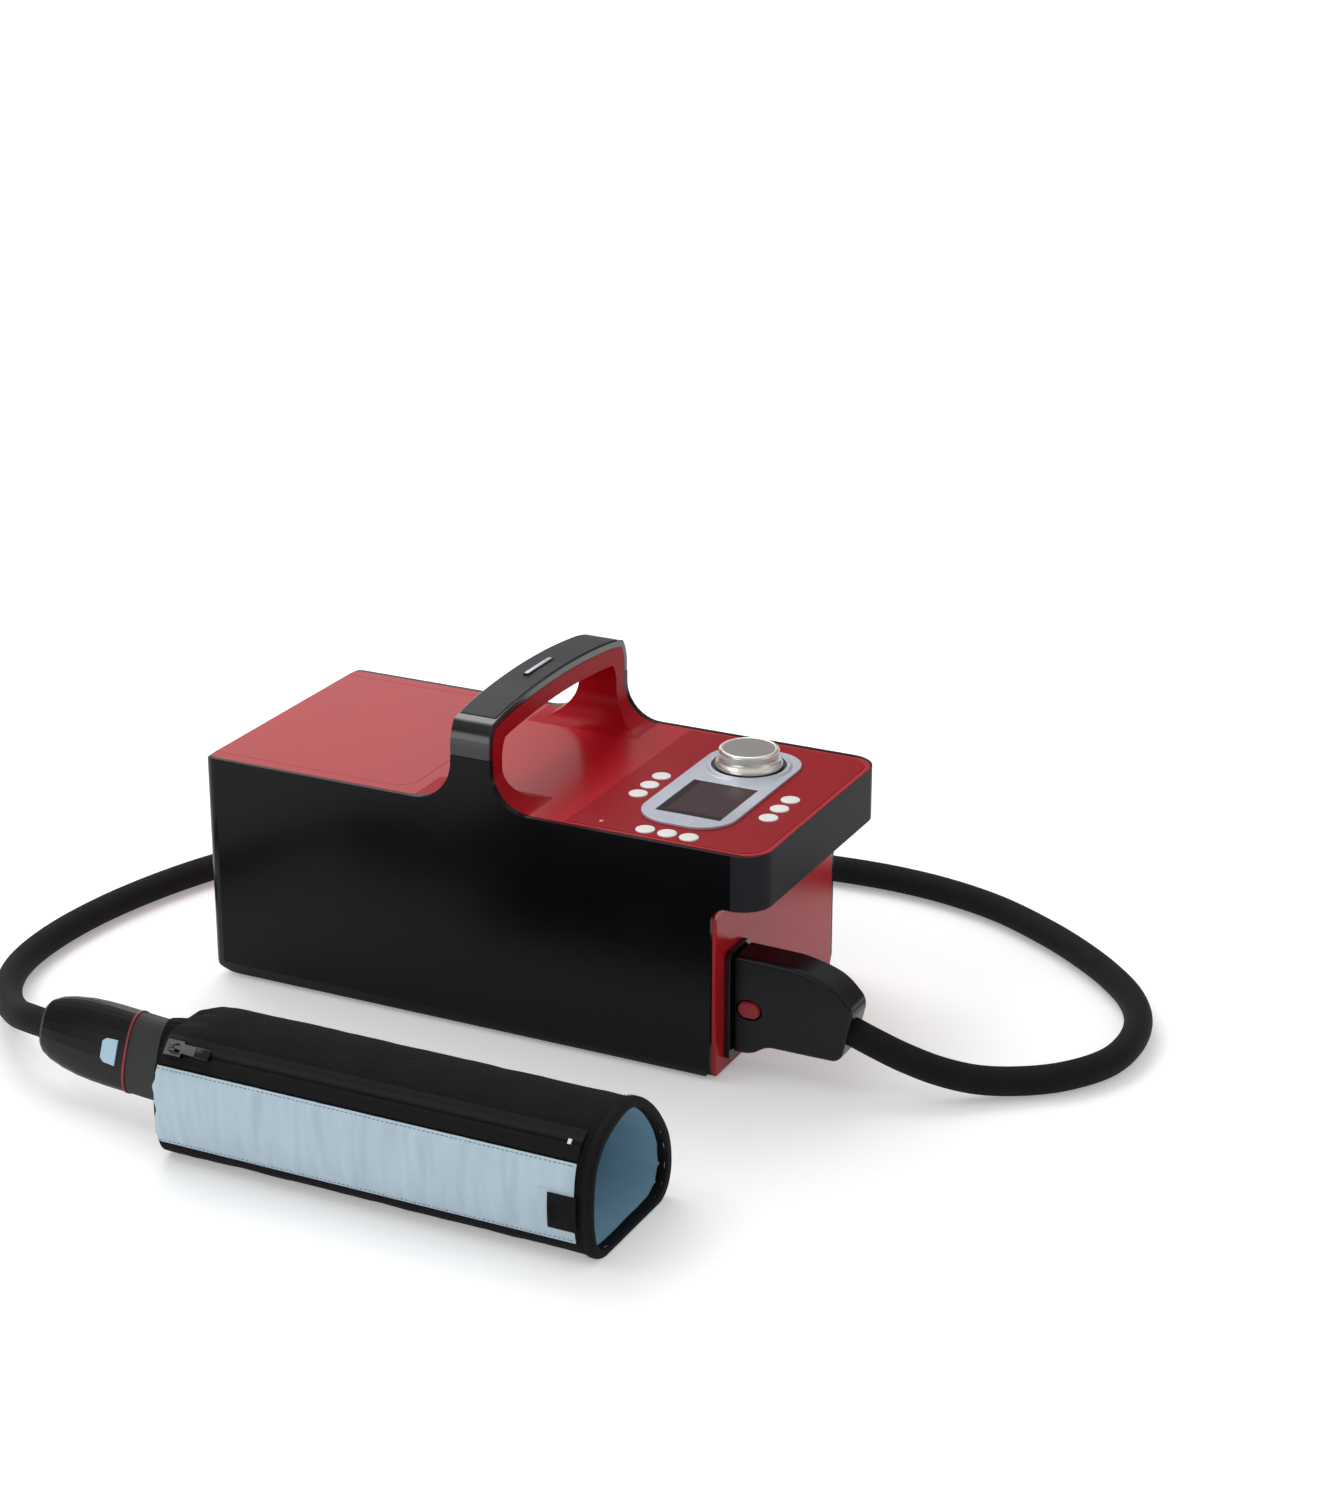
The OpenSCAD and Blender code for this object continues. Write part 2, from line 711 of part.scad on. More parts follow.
module main_board() {
    y = in_y - wall_in - 10;
    color(board_green) translate([-36, y, floor_z]) cube([168, 1.6, 110]);
    color(rubber) for (x = [-20, 26, 72, 102]) translate([x, y - 4, 40]) cube([24, 4, 18 + x / 8]);
    color(silver) for (x = [-30, 126])
        translate([x, in_y - wall_in, base_z + 90]) rotate([90, 0, 0]) cylinder(r = 3, h = 8.4);
}

// Tube that rises, bends across along X and comes down again
module hoop_tube(from, rise, across, drop) {
    bend = 12;
    translate(from) cylinder(r = tube_r, h = rise);
    translate(from + [bend, 0, rise]) rotate([90, 0, 0]) rotate([0, 0, 90])
        rotate_extrude(angle = 90) translate([bend, 0]) circle(tube_r);
    translate(from + [bend, 0, rise + bend]) rotate([0, 90, 0]) cylinder(r = tube_r, h = across - 2 * bend);
    translate(from + [across - bend, 0, rise]) rotate([90, 0, 0])
        rotate_extrude(angle = 90) translate([bend, 0]) circle(tube_r);
    translate(from + [across, 0, rise - drop]) cylinder(r = tube_r, h = drop);
}

module inner_tubes() {
    landing = floor_z + block_h;
    color([0.8, 0.85, 0.88]) {
        hoop_tube([pump_x + 12, water_y, pump_out_z], 12, block_x + 7 - pump_x - 12, pump_out_z + 12 - landing);
        hoop_tube([64, air_y, air_out_z], 18, block_x + 7 - 64, air_out_z + 18 - landing);
        translate([tub_x[1], water_y, water_z]) rotate([0, 90, 0]) cylinder(r = tube_r, h = pump_x - tub_x[1]);
        for (z = nipple_z)
            translate([block_x + 44, plug_y, z]) rotate([0, 90, 0]) cylinder(r = tube_r, h = end_x - 24 - block_x - 44);
    }
}

module hose_socket() {
    color(black) difference() {
        union() {
            along_x(end_x, plug_x - end_x) rounded(plug_y - 17.5, 9, plug_y + 14, 85, 5);
            translate([end_x - 24, plug_y - 14.8, 17.2]) cube([24, 29.6, 61.6]);
        }
        for (z = nipple_z) translate([end_x - 20, plug_y, z]) rotate([0, 90, 0]) cylinder(r = nipple_r + 0.05, h = 40);
    }
}

module power_jack() {
    color(rubber) translate([body_x0 - 0.8, jack_yz[0], jack_yz[1]]) rotate([0, 90, 0]) difference() {
        union() {
            cylinder(r = jack_r + 2.5, h = 0.8);
            cylinder(r = jack_r, h = 13);
        }
        translate([0, 0, -1]) cylinder(r = 4, h = 11);
    }
}

module case_screws() {
    color(silver) for (p = screw_xy) translate([p[0], p[1], base_z]) {
        translate([0, 0, -1.8]) cylinder(r = screw_head_r, h = 1.8);
        cylinder(r = screw_r, h = 11);
    }
}

// --- plug on the unit ---
// Points of a closed outline with its corners rounded to radius r
function soft_outline(p, r, n = 5) = [
    for (i = [0:len(p) - 1])
        let (a = p[(i + len(p) - 1) % len(p)], b = p[i], c = p[(i + 1) % len(p)],
             u = unit(a - b), v = unit(c - b), half = acos(u * v) / 2,
             q = min(r, 0.45 * min(norm(a - b), norm(c - b)) * tan(half)),
             m = b + unit(u + v) * q / sin(half),
             from = b + u * q / tan(half) - m, to = b + v * q / tan(half) - m)
        for (k = [0:n]) m + q * unit((n - k) * from + k * to)
];

// Ring of an outline drawn towards its centre by share k, at height z
function slab_ring(outline, center, k, z) = [for (q = outline) let (p = center + k * (q - center)) [p[0], p[1], z]];

// Slab that narrows to its face, like a moulding's soft edge
module soft_slab(outline, center, h, edge, squeeze) {
    skin_rings([
        slab_ring(outline, center, 1, 0),
        slab_ring(outline, center, 1, h - edge),
        slab_ring(outline, center, (1 + 2 * squeeze) / 3, h - 0.35 * edge),
        slab_ring(outline, center, squeeze, h)
    ]);
}

module plug_half(side) {
    translate([plug_x, plug_y, 0]) mirror([0, side, 0]) rotate([90, 0, 0])
        soft_slab(soft_outline(plug_outline, 4, 3), plug_center, plug_t / 2, 4 + 3 * side, 0.9 - 0.05 * side);
}

module plug_shell_front() {
    color(black) difference() {
        plug_half(0);
        along_y(plug_y - 20, 15) button_oval(9.3, 7.2);
        plug_bores();
    }
}

module plug_shell_back() {
    color(black) difference() {
        plug_half(1);
        plug_bores();
    }
}

// Bores that the nipples push into
module plug_bores() {
    for (z = nipple_z) translate([plug_x - 1, plug_y, z]) rotate([0, 90, 0]) cylinder(r = nipple_r - 0.5, h = 31);
}

module button_oval(a, b) {
    translate(plug_button_xz) rounded(-a, -b, a, b, b - 0.1);
}

module plug_nipples() {
    color(silver) for (z = nipple_z) translate([end_x - 18, plug_y, z]) rotate([0, 90, 0]) {
        cylinder(r = nipple_r, h = plug_x - end_x + 18);
        cylinder(r = nipple_r - 0.5, h = plug_x - end_x + 40);
    }
}

module plug_button() {
    face = plug_y - plug_t / 2;
    color(red) {
        along_y(face, 6.6) button_oval(7.6, 5.6);
        along_y(face - 0.7, 0.7) button_oval(6.8, 4.8);
    }
}

// --- hose: a tube swept along its route with a frame that doesn't twist ---
function mix3(a, b, c, d, t) = 0.5 * ((2 * b) + (c - a) * t + (2 * a - 5 * b + 4 * c - d) * t * t
    + (3 * b - a - 3 * c + d) * t * t * t);
function clampi(i, n) = max(0, min(n - 1, i));
function on_route(p, i, t) = mix3(p[clampi(i - 1, len(p))], p[i], p[i + 1], p[clampi(i + 2, len(p))], t);
function spline(p, k) = [
    for (i = [0:len(p) - 2], s = [0:k - 1]) on_route(p, i, s / k),
    p[len(p) - 1]
];
function unit(v) = v / norm(v);
function run_length(p, i = 0) = i >= len(p) - 1 ? 0 : norm(p[i + 1] - p[i]) + run_length(p, i + 1);
hose_line = spline(hose_route, hose_steps);

// The ring of points round the line at its i-th point
function hose_ring(p, i, r, sides) =
    let (t = unit(p[clampi(i + 1, len(p))] - p[clampi(i - 1, len(p))]),
         s = unit(cross(t, [0, 0, 1])),
         u = cross(s, t))
    [for (k = [0:sides - 1]) let (a = 360 * k / sides + 180 / sides) p[i] + r * (cos(a) * s + sin(a) * u)];

// Skin of quads over rings of equal count, with both ends closed
module skin_rings(rings) {
    n = len(rings[0]);
    m = len(rings);
    polyhedron(
        points = [for (ring = rings, p = ring) p],
        faces = concat(
            [for (i = [0:m - 2], k = [0:n - 1]) [i * n + k, i * n + (k + 1) % n, (i + 1) * n + (k + 1) % n]],
            [for (i = [0:m - 2], k = [0:n - 1]) [i * n + k, (i + 1) * n + (k + 1) % n, (i + 1) * n + k]],
            [[for (k = [n - 1:-1:0]) k]],
            [[for (k = [0:n - 1]) (m - 1) * n + k]]
        ),
        convexity = 6
    );
}

// Skin over rings that come back to the first, such as a wall with a bore
module skin_loop(rings) {
    n = len(rings[0]);
    m = len(rings);
    polyhedron(
        points = [for (ring = rings, p = ring) p],
        faces = [for (i = [0:m - 1], k = [0:n - 1], half = [0, 1])
            let (j = (i + 1) % m, l = (k + 1) % n)
            half == 0 ? [i * n + k, i * n + l, j * n + l] : [i * n + k, j * n + l, j * n + k]],
        convexity = 8
    );
}

module hose() {
    r = hose_d / 2;
    color([0.12, 0.12, 0.12]) skin_rings([for (i = [0:len(hose_line) - 1]) hose_ring(hose_line, i, r, hose_sides)]);
}

// --- plug on the wrap, drawn along its own axis ---
module on_wrap_plug() {
    translate(wp_start) rotate([0, 0, wp_yaw]) rotate([90 - wrap_plug_lean, 0, 0]) children();
}

// Half of a rounded section, w across and h thick to one side, at u along the plug
function half_section(u, w, h, n = 16) =
    [for (k = [0:n]) let (a = 180 * k / n, c = cos(a), v = sin(a))
        [u, w * sign(c) * abs(c) ^ 0.8, h * v ^ 0.8]];

module plug_loft(rings, side) {
    mirror([0, 0, side]) skin_rings([for (q = rings) half_section(q[0], q[1], q[2])]);
}

// Short length of the plug's own section, grown all round
module plug_band(u, l, grow) {
    w = wrap_plug_w / 2 + grow;
    h = wp_t / 2 + grow;
    for (side = [0, 1]) plug_loft([[u, w, h], [u + l, w, h]], side);
}

module wrap_plug_top() {
    color(black) on_wrap_plug() difference() {
        plug_loft(wp_rings, 0);
        along_z(wp_t / 2 - 5, 20) wrap_button_plan(0.3);
    }
}

module wrap_plug_bottom() { color(black) on_wrap_plug() plug_loft(wp_rings, 1); }

module wrap_button_plan(grow) {
    polygon([[57 - grow, -7 - grow], [57 - grow, 3.6 + grow], [60, 6 + grow], [69 + grow, 6.6 + grow],
             [69 + grow, -10 - grow], [60, -9.4 - grow]]);
}

module wrap_plug_button() {
    color(blue) on_wrap_plug() along_z(wp_t / 2 - 2.8, 3.4) wrap_button_plan(0);
}

module wrap_plug_ring() { color([0.6, 0.1, 0.14]) on_wrap_plug() plug_band(wp_len, 1.8, 0.4); }

module wrap_port() { color(rubber) on_wrap_plug() plug_band(wp_len + 1.8, port_len, -0.3); }

// --- wrap ---
// Closed smooth curve through the section's points; s counts points
function loop_at(p, s) =
    let (n = len(p), i = floor(s), t = s - i)
    mix3(p[(i - 1 + n) % n], p[i % n], p[(i + 1) % n], p[(i + 2) % n], t);
function flat_low(q, z) = [q[0], max(z, q[1])];
function outer_at(s, low = 0) = flat_low(loop_at(wrap_out, (s + len(wrap_out)) % len(wrap_out)), low);
function inner_at(s) = loop_at(wrap_in, (s + len(wrap_in)) % len(wrap_in));
// Outward direction of the outer section at s
function out_dir(s) = let (d = outer_at(s + 0.1) - outer_at(s - 0.1)) unit([-d[1], d[0]]);
function in_dir(s) = let (d = inner_at(s + 0.1) - inner_at(s - 0.1)) unit([-d[1], d[0]]);
function yz_off(q, d, k) = [q[0] + k * d[0], q[1] + k * d[1]];

// Point on the neck round the port, a flattened ring that leans like the plug
function neck_at(s, grow) =
    let (a = 180 - 360 * s / len(wrap_out), c = cos(a), v = sin(a),
         p = (abs(c) ^ 2.6 + abs(v) ^ 2.6) ^ (-1 / 2.6),
         w = (neck_half[0] + grow) * c * p,
         h = (neck_half[1] + grow) * v * p,
         l = wrap_plug_lean)
    [neck_c[0] + w * sin(l) - h * cos(l), neck_c[1] + w * cos(l) + h * sin(l)];

function at_x(x, q) = [x, q[0], q[1]];
function ring_s(k) = k * len(wrap_out) / around;
function ring_lookup(x, mix) = lookup(x, [for (i = [0:len(wrap_ring_x) - 1]) [wrap_ring_x[i], mix[i]]]);
// Share of the neck's form at x and s: whole at the port; the front closes late, the hood slopes
function neck_share(x, s) =
    let (f = lookup(s, front_share))
    f * ring_lookup(x, front_mix) + (1 - f) * ring_lookup(x, hood_mix);
function skin_at(x, s, low = 0) =
    let (m = neck_share(x, s)) (1 - m) * outer_at(s, low) + m * neck_at(s, neck_wall);
function hollow_at(x, s) = let (m = neck_share(x, s)) (1 - m) * inner_at(s) + m * neck_at(s, 0);
function sleeve_out(x) =
    [for (k = [0:around - 1]) at_x(x, skin_at(x, ring_s(k), x > 190 ? binding_t + 0.1 : 0))];
function sleeve_in(x) = [for (k = [0:around - 1]) at_x(x, hollow_at(x, ring_s(k)))];
function lining_ring(x, k) = [for (j = [0:around - 1])
    at_x(x, yz_off(inner_at(ring_s(j)), in_dir(ring_s(j)), -k))];
// Point on the wrap's outside at x and s, lifted off it by k
function wrap_point(x, s, k) = at_x(x, yz_off(skin_at(x, s), out_dir(s), k));
function reversed(l) = [for (i = [len(l) - 1:-1:0]) l[i]];
function steps(a, b, n) = [for (i = [0:n]) a + (b - a) * i / n];
// Height of the panel's soft upright wrinkles
function wrinkle(x, s) = 0.45 * sin(x * 11 + 50 * sin(s * 60)) * sin(x * 3.7 + 30);

// Places along X between the two ends of r: n steps from the hood on, and the hood's own rings
function band_x(r, n) = concat(
    [for (x = concat([r[0]], wrap_ring_x)) if (x >= r[0] && x <= lining_x) x],
    [for (x = steps(lining_x, r[1], n)) if (x > lining_x) x]
);

// Band of cloth on the wrap, between s[0] and s[1], from low to high off it
module cloth_band(xs, s, n, low, high, wave) {
    skin_rings([for (x = xs) concat(
        [for (q = steps(s[0], s[1], n)) wrap_point(x, q, high + wave * wrinkle(x, q))],
        [for (q = steps(s[1], s[0], n)) wrap_point(x, q, low)]
    )]);
}

module wrap_sleeve() {
    color([0.1, 0.1, 0.11]) skin_loop(concat(
        [for (x = wrap_ring_x) sleeve_out(x)],
        [for (x = reversed(wrap_ring_x)) sleeve_in(x)]
    ));
}

module wrap_lining() {
    xs = [lining_x, 0, 110, wrap_end_x];
    color([0.3, 0.45, 0.55]) skin_loop(concat(
        [for (x = xs) lining_ring(x, 0)],
        [for (x = reversed(xs)) lining_ring(x, lining_t)]
    ));
}

module wrap_panel() {
    color(blue) cloth_band(band_x(panel_x, 36), panel_s, 10, 0, panel_t, 1);
}

// Zipper: its tape, with the closed row of teeth as a ridge along the middle
module zipper_tape() {
    mid = (zip_s[0] + zip_s[1]) / 2;
    s = [zip_s[0], mid - 0.12, mid - 0.12, mid + 0.12, mid + 0.12, zip_s[1]];
    lift = [0, 0, teeth_h, teeth_h, 0, 0];
    color([0.13, 0.13, 0.14]) skin_rings([for (x = band_x(zip_x, 1)) concat(
        [for (i = [0:len(s) - 1]) wrap_point(x, s[i], tape_t + lift[i])],
        [for (q = steps(zip_s[1], zip_s[0], 3)) wrap_point(x, q, 0)]
    )]);
}

// Places its children on the zipper's middle, z outwards and x along it
module on_zipper(x) {
    mid = (zip_s[0] + zip_s[1]) / 2;
    q = wrap_point(x, mid, tape_t);
    d = out_dir(mid);
    translate(q) rotate([atan2(-d[0], d[1]), 0, 0]) children();
}

module zipper_slider() {
    w = 10;
    l = 12;
    low = 0.3;
    color(silver) on_zipper(slider_x) difference() {
        union() {
            translate([-l / 2, -w / 2, low]) cube([l, w, 3.6]);
            translate([-3, -2.6, low + 3]) cube([6, 1.2, pull_z - low - 3 + pull_pin_r]);
            translate([-3, 1.4, low + 3]) cube([6, 1.2, pull_z - low - 3 + pull_pin_r]);
            translate([0, 2, pull_z]) rotate([90, 0, 0]) cylinder(r = pull_pin_r, h = 4, $fn = 24);
        }
        translate([-l, -2.6, -1]) cube([2 * l, 5.2, teeth_h + 1.5]);
    }
}

// Pull tab on the slider's pin, lying down along the teeth
module zipper_pull() {
    color(silver) on_zipper(slider_x) translate([0, 0, pull_z]) rotate([0, pull_rest, 0]) {
        difference() {
            union() {
                rotate([90, 0, 0]) translate([0, 0, -1.2]) cylinder(r = 2, h = 2.4, $fn = 32);
                translate([0, -1.2, -0.7]) cube([7, 2.4, 1.4]);
                translate([6, -3, -0.7]) cube([18, 6, 1.4]);
            }
            rotate([90, 0, 0]) translate([0, 0, -3]) cylinder(r = pull_pin_r + 0.06, h = 6, $fn = 24);
            translate([18, -1.2, -2]) cube([3.6, 2.4, 4]);
        }
    }
}

// Binding over the wrap's open edge, a channel that follows the whole section
module wrap_binding() {
    e = wrap_end_x;
    k = lining_t + binding_t;
    color(black) skin_loop([for (j = [0:around - 1])
        let (s = ring_s(j), o = outer_at(s, binding_t + 0.1), od = out_dir(s), i = inner_at(s), id = in_dir(s))
        [
            at_x(e - binding_w, o),
            at_x(e - binding_w, flat_low(yz_off(o, od, binding_t), 0)),
            at_x(e + binding_t, flat_low(yz_off(o, od, binding_t), 0)),
            at_x(e + binding_t, yz_off(i, id, -k)),
            at_x(e - 6, yz_off(i, id, -k)),
            at_x(e - 6, yz_off(i, id, -lining_t)),
            at_x(e, yz_off(i, id, -lining_t)),
            at_x(e, o)
        ]]);
}

module wrap_tab() {
    color(black) cloth_band(tab_x, tab_s, 3, panel_t - 0.4, panel_t + 1.6, 0);
}

inner_body();
base_pan();
rubber_foot();
side_shell_front();
side_shell_back();
front_visor();
handle_liner();
handle_cover();
handle_grip();
control_overlay();
display_bezel();
lcd_window();
panel_board();
status_led();
encoder_shaft();
control_knob();
push_button(0);  // button_1
push_button(1);  // button_2
push_button(2);  // button_3
push_button(3);  // button_4
push_button(4);  // button_5
push_button(5);  // button_6
push_button(6);  // button_7
push_button(7);  // button_8
push_button(8);  // button_9
reservoir_lid();
lid_seal();
lid_hinge_pin();
reservoir_tub();
insulation_foam();
water_pump();
air_compressor();
valve_block();
main_board();
inner_tubes();
hose_socket();
power_jack();
case_screws();
plug_shell_front();
plug_shell_back();
plug_nipples();
plug_button();
hose();
wrap_plug_top();
wrap_plug_bottom();
wrap_plug_ring();
wrap_plug_button();
wrap_port();
wrap_sleeve();
wrap_lining();
wrap_panel();
zipper_tape();
zipper_slider();
zipper_pull();
wrap_binding();
wrap_tab();
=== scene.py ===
# %% [markdown]
# # Cold and compression therapy unit
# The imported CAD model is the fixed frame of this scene: its size, its moving bodies and its
# shapes. This script dresses it. Rigid mouldings are copied and given soft edges, and the cloth
# wrap, the sleeved hose and the small fittings are modelled here. Lengths are in metres. Tables
# of points, and the wrap's own measures, are in millimetres and are multiplied by MM.

# %% Load the frame
import json
import math

import bpy
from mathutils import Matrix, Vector, noise


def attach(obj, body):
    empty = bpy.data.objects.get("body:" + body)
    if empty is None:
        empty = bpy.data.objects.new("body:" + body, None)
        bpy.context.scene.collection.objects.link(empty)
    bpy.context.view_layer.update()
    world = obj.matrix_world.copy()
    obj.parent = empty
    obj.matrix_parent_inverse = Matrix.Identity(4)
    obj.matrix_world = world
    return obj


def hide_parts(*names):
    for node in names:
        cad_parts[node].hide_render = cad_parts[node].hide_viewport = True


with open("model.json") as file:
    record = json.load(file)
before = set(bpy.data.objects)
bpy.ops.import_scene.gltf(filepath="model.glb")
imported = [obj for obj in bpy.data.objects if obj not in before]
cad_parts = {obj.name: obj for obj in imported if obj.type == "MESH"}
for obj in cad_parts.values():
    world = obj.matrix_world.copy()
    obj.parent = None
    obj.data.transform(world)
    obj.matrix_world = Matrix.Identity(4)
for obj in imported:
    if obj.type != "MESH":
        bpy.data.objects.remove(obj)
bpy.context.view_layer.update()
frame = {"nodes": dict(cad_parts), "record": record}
MM = 0.001
bodies = frame["record"]["behaviour"]["bodies"]
body_of = {node: body for body, nodes in bodies.items() for node in nodes}

# %% [markdown]
# Operators act on everything that is selected, so each piece starts from an empty selection.
# These few helpers add one object, settle its place into its mesh and apply a modifier, which
# keeps every finished piece at the origin like the CAD nodes. A finished piece is then seated: it
# rides on the body of the CAD node that it belongs to, and hides that node when it replaces it.

# %% Helpers for modelling by hand
def pick(piece):
    if bpy.context.object and bpy.context.object.mode != "OBJECT":
        bpy.ops.object.mode_set(mode="OBJECT")
    bpy.ops.object.select_all(action="DESELECT")
    piece.select_set(True)
    bpy.context.view_layer.objects.active = piece


def added(name, operator, **settings):
    bpy.ops.object.select_all(action="DESELECT")
    operator(**settings)
    piece = bpy.context.object
    piece.name = name
    return piece


def settle(piece):
    pick(piece)
    bpy.ops.object.transform_apply(location=True, rotation=True, scale=True)


def block(name, at, size):
    piece = added(name, bpy.ops.mesh.primitive_cube_add, size=1, location=at)
    piece.scale = size
    settle(piece)
    return piece


def modify(piece, kind, **settings):
    pick(piece)
    modifier = piece.modifiers.new(kind.lower(), kind)
    for key, value in settings.items():
        setattr(modifier, key, value)
    bpy.ops.object.modifier_apply(modifier=modifier.name)


def edit_all(piece):
    pick(piece)
    bpy.ops.object.mode_set(mode="EDIT")
    bpy.ops.mesh.select_all(action="SELECT")


def facing_out(piece):
    edit_all(piece)
    bpy.ops.mesh.normals_make_consistent(inside=False)
    bpy.ops.object.mode_set(mode="OBJECT")


def smooth(piece, degrees):
    pick(piece)
    bpy.ops.object.shade_smooth_by_angle(angle=math.radians(degrees))


def mesh_piece(name, points, faces):
    mesh = bpy.data.meshes.new(name)
    mesh.from_pydata([tuple(p) for p in points], [], faces)
    mesh.validate()
    piece = bpy.data.objects.new(name, mesh)
    bpy.context.collection.objects.link(piece)
    return piece


def dress(piece, finish):
    piece.data.materials.clear()
    piece.data.materials.append(finish)


def seat(piece, node, *more, replace=True):
    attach(piece, body_of[node])
    if replace:
        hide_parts(node, *more)


# %% [markdown]
# The camera stands where the photographer stood. Its place, its aim and its long lens were found
# by matching the corners of the unit, whose real length is known. The lens is long, so the unit's
# parallel edges hardly converge.

# %% Camera
LENS = 79.28
CAMERA_AT = Vector((0.9817, -1.8108, 0.9567))
CAMERA_AIM = Vector((-0.0314, 0.2478, 0.0800))


def aimed(at, aim):
    return (Vector(aim) - Vector(at)).to_track_quat("-Z", "Y").to_euler()


camera = added("photo_camera", bpy.ops.object.camera_add, location=CAMERA_AT)
camera.rotation_euler = aimed(CAMERA_AT, CAMERA_AIM)
camera.data.lens = LENS
camera.data.sensor_width = 36
camera.data.clip_end = 60
bpy.context.scene.camera = camera
print("camera distance", round((CAMERA_AIM - CAMERA_AT).length, 3))

# %% [markdown]
# Every finish is procedural and reads Object coordinates, so its grain has a real size in metres.
# A shader is a small graph, and these helpers make its nodes, wire them and mix their values, so
# that a finish below reads as one short recipe.

# %% Shader helpers
def linear(*srgb):
    values = [c / 255 for c in srgb]
    return [c / 12.92 if c < 0.04045 else ((c + 0.055) / 1.055) ** 2.4 for c in values] + [1]


def toned(colour, share, lift=0.0):
    return [min(1, c * share + lift) for c in colour[:3]] + [1]


def node_of(owner, kind, **settings):
    node = owner.node_tree.nodes.new(kind)
    for key, value in settings.items():
        if key in node.inputs:
            node.inputs[key].default_value = value
        else:
            setattr(node, key, value)
    return node


def wire(owner, source, target):
    owner.node_tree.links.new(source, target)


def feed(owner, value, socket):
    if hasattr(value, "links"):
        wire(owner, value, socket)
    else:
        socket.default_value = value


def new_material(name, rough, **sockets):
    mat = bpy.data.materials.new(name)
    mat.use_nodes = True
    bsdf = mat.node_tree.nodes["Principled BSDF"]
    bsdf.inputs["Roughness"].default_value = rough
    for key, value in sockets.items():
        bsdf.inputs[key.replace("_", " ")].default_value = value
    return mat, bsdf


def object_place(owner):
    return node_of(owner, "ShaderNodeTexCoord").outputs["Object"]


def noise_at(mat, size, detail=3.0):
    place = object_place(mat)
    grain = node_of(mat, "ShaderNodeTexNoise", Scale=1 / size, Detail=detail, Roughness=0.55)
    wire(mat, place, grain.inputs["Vector"])
    return grain.outputs["Fac"]


def ranged(owner, value, low, high, source=(0.3, 0.7)):
    node = node_of(owner, "ShaderNodeMapRange")
    for i, number in enumerate((source[0], source[1], low, high)):
        feed(owner, number, node.inputs[i + 1])
    wire(owner, value, node.inputs[0])
    return node.outputs[0]


def combined(mat, operation, first, second):
    node = node_of(mat, "ShaderNodeMath", operation=operation)
    wire(mat, first, node.inputs[0])
    wire(mat, second, node.inputs[1])
    return node.outputs[0]


def blended(mat, value, first, second):
    node = node_of(mat, "ShaderNodeMix", data_type="RGBA")
    wire(mat, value, node.inputs["Factor"])
    feed(mat, first, node.inputs[6])
    feed(mat, second, node.inputs[7])
    return node.outputs[2]


def bumped(mat, bsdf, height, depth):
    node = node_of(mat, "ShaderNodeBump", Strength=1.0, Distance=depth)
    wire(mat, height, node.inputs["Height"])
    wire(mat, node.outputs["Normal"], bsdf.inputs["Normal"])


# %% [markdown]
# A moulded plastic has three things that a flat colour lacks: slow smudges in its gloss, a slight
# change of tint, and a fine skin that breaks up the highlight. One function makes that recipe, and
# each finish below only names its own colour, gloss and grain. Painted, rubber and metal parts
# take the same recipe with other values.

# %% Moulded and painted finishes
SMUDGE_SIZE = 0.07


def moulded(name, colour, rough, tint=0.12, skin=0.0012, depth=0.00003, smudge=0.06, **sockets):
    mat, bsdf = new_material(name, rough, **sockets)
    base = linear(*colour)
    slow = noise_at(mat, SMUDGE_SIZE)
    tints = blended(mat, ranged(mat, slow, 0, 1), toned(base, 1 - tint), toned(base, 1 + tint))
    wire(mat, tints, bsdf.inputs["Base Color"])
    gloss = ranged(mat, slow, max(0.02, rough - smudge), rough + smudge)
    wire(mat, gloss, bsdf.inputs["Roughness"])
    bumped(mat, bsdf, noise_at(mat, skin, 2.0), depth)
    return mat


red_gloss = moulded("red_gloss", (172, 16, 29), 0.24, tint=0.05, smudge=0.02,
                    Specular_IOR_Level=0.22)
red_liner = moulded("red_liner", (160, 11, 25), 0.34, tint=0.05, smudge=0.03,
                    Specular_IOR_Level=0.05)
black_side = moulded("black_side", (10, 10, 14), 0.22, smudge=0.02, Specular_IOR_Level=0.14)
black_gloss = moulded("black_gloss", (15, 15, 19), 0.15, Specular_IOR_Level=0.6)
# The visor is the same black moulding as the side shells; its lighter colour is painted light, for
# the light and reflection on its front face.
lit_visor_black = moulded("lit_visor_black", (40, 40, 44), 0.35, smudge=0.02, Specular_IOR_Level=0.03)
film_red = moulded("film_red", (148, 11, 25), 0.3, tint=0.05, skin=0.0006, depth=0.00001,
                   smudge=0.02, Specular_IOR_Level=0.08)
grip_rubber = moulded("grip_rubber", (20, 22, 22), 0.55, skin=0.0007, depth=0.00012,
                      Specular_IOR_Level=0.3)
dark_rubber = moulded("dark_rubber", (30, 31, 31), 0.62, skin=0.0009, depth=0.0001)
bezel_paint = moulded("bezel_paint", (186, 190, 202), 0.3, tint=0.05, Metallic=0.35)
key_white = moulded("key_white", (226, 226, 222), 0.42, tint=0.03, skin=0.0008)
led_lens = moulded("led_lens", (226, 150, 150), 0.25, tint=0.05, skin=0.0005)
tub_plastic = moulded("tub_plastic", (214, 218, 221), 0.4, tint=0.03)
foam_skin = moulded("foam_skin", (70, 70, 73), 0.8, skin=0.002, depth=0.0004)
valve_plastic = moulded("valve_plastic", (202, 190, 150), 0.5)
plug_black = moulded("plug_black", (14, 14, 17), 0.26, skin=0.0006, depth=0.00002,
                     Specular_IOR_Level=0.25)
plug_red = moulded("plug_red", (150, 26, 36), 0.35)
ring_red = moulded("ring_red", (130, 24, 36), 0.4)
key_blue = moulded("key_blue", (170, 200, 220), 0.35)
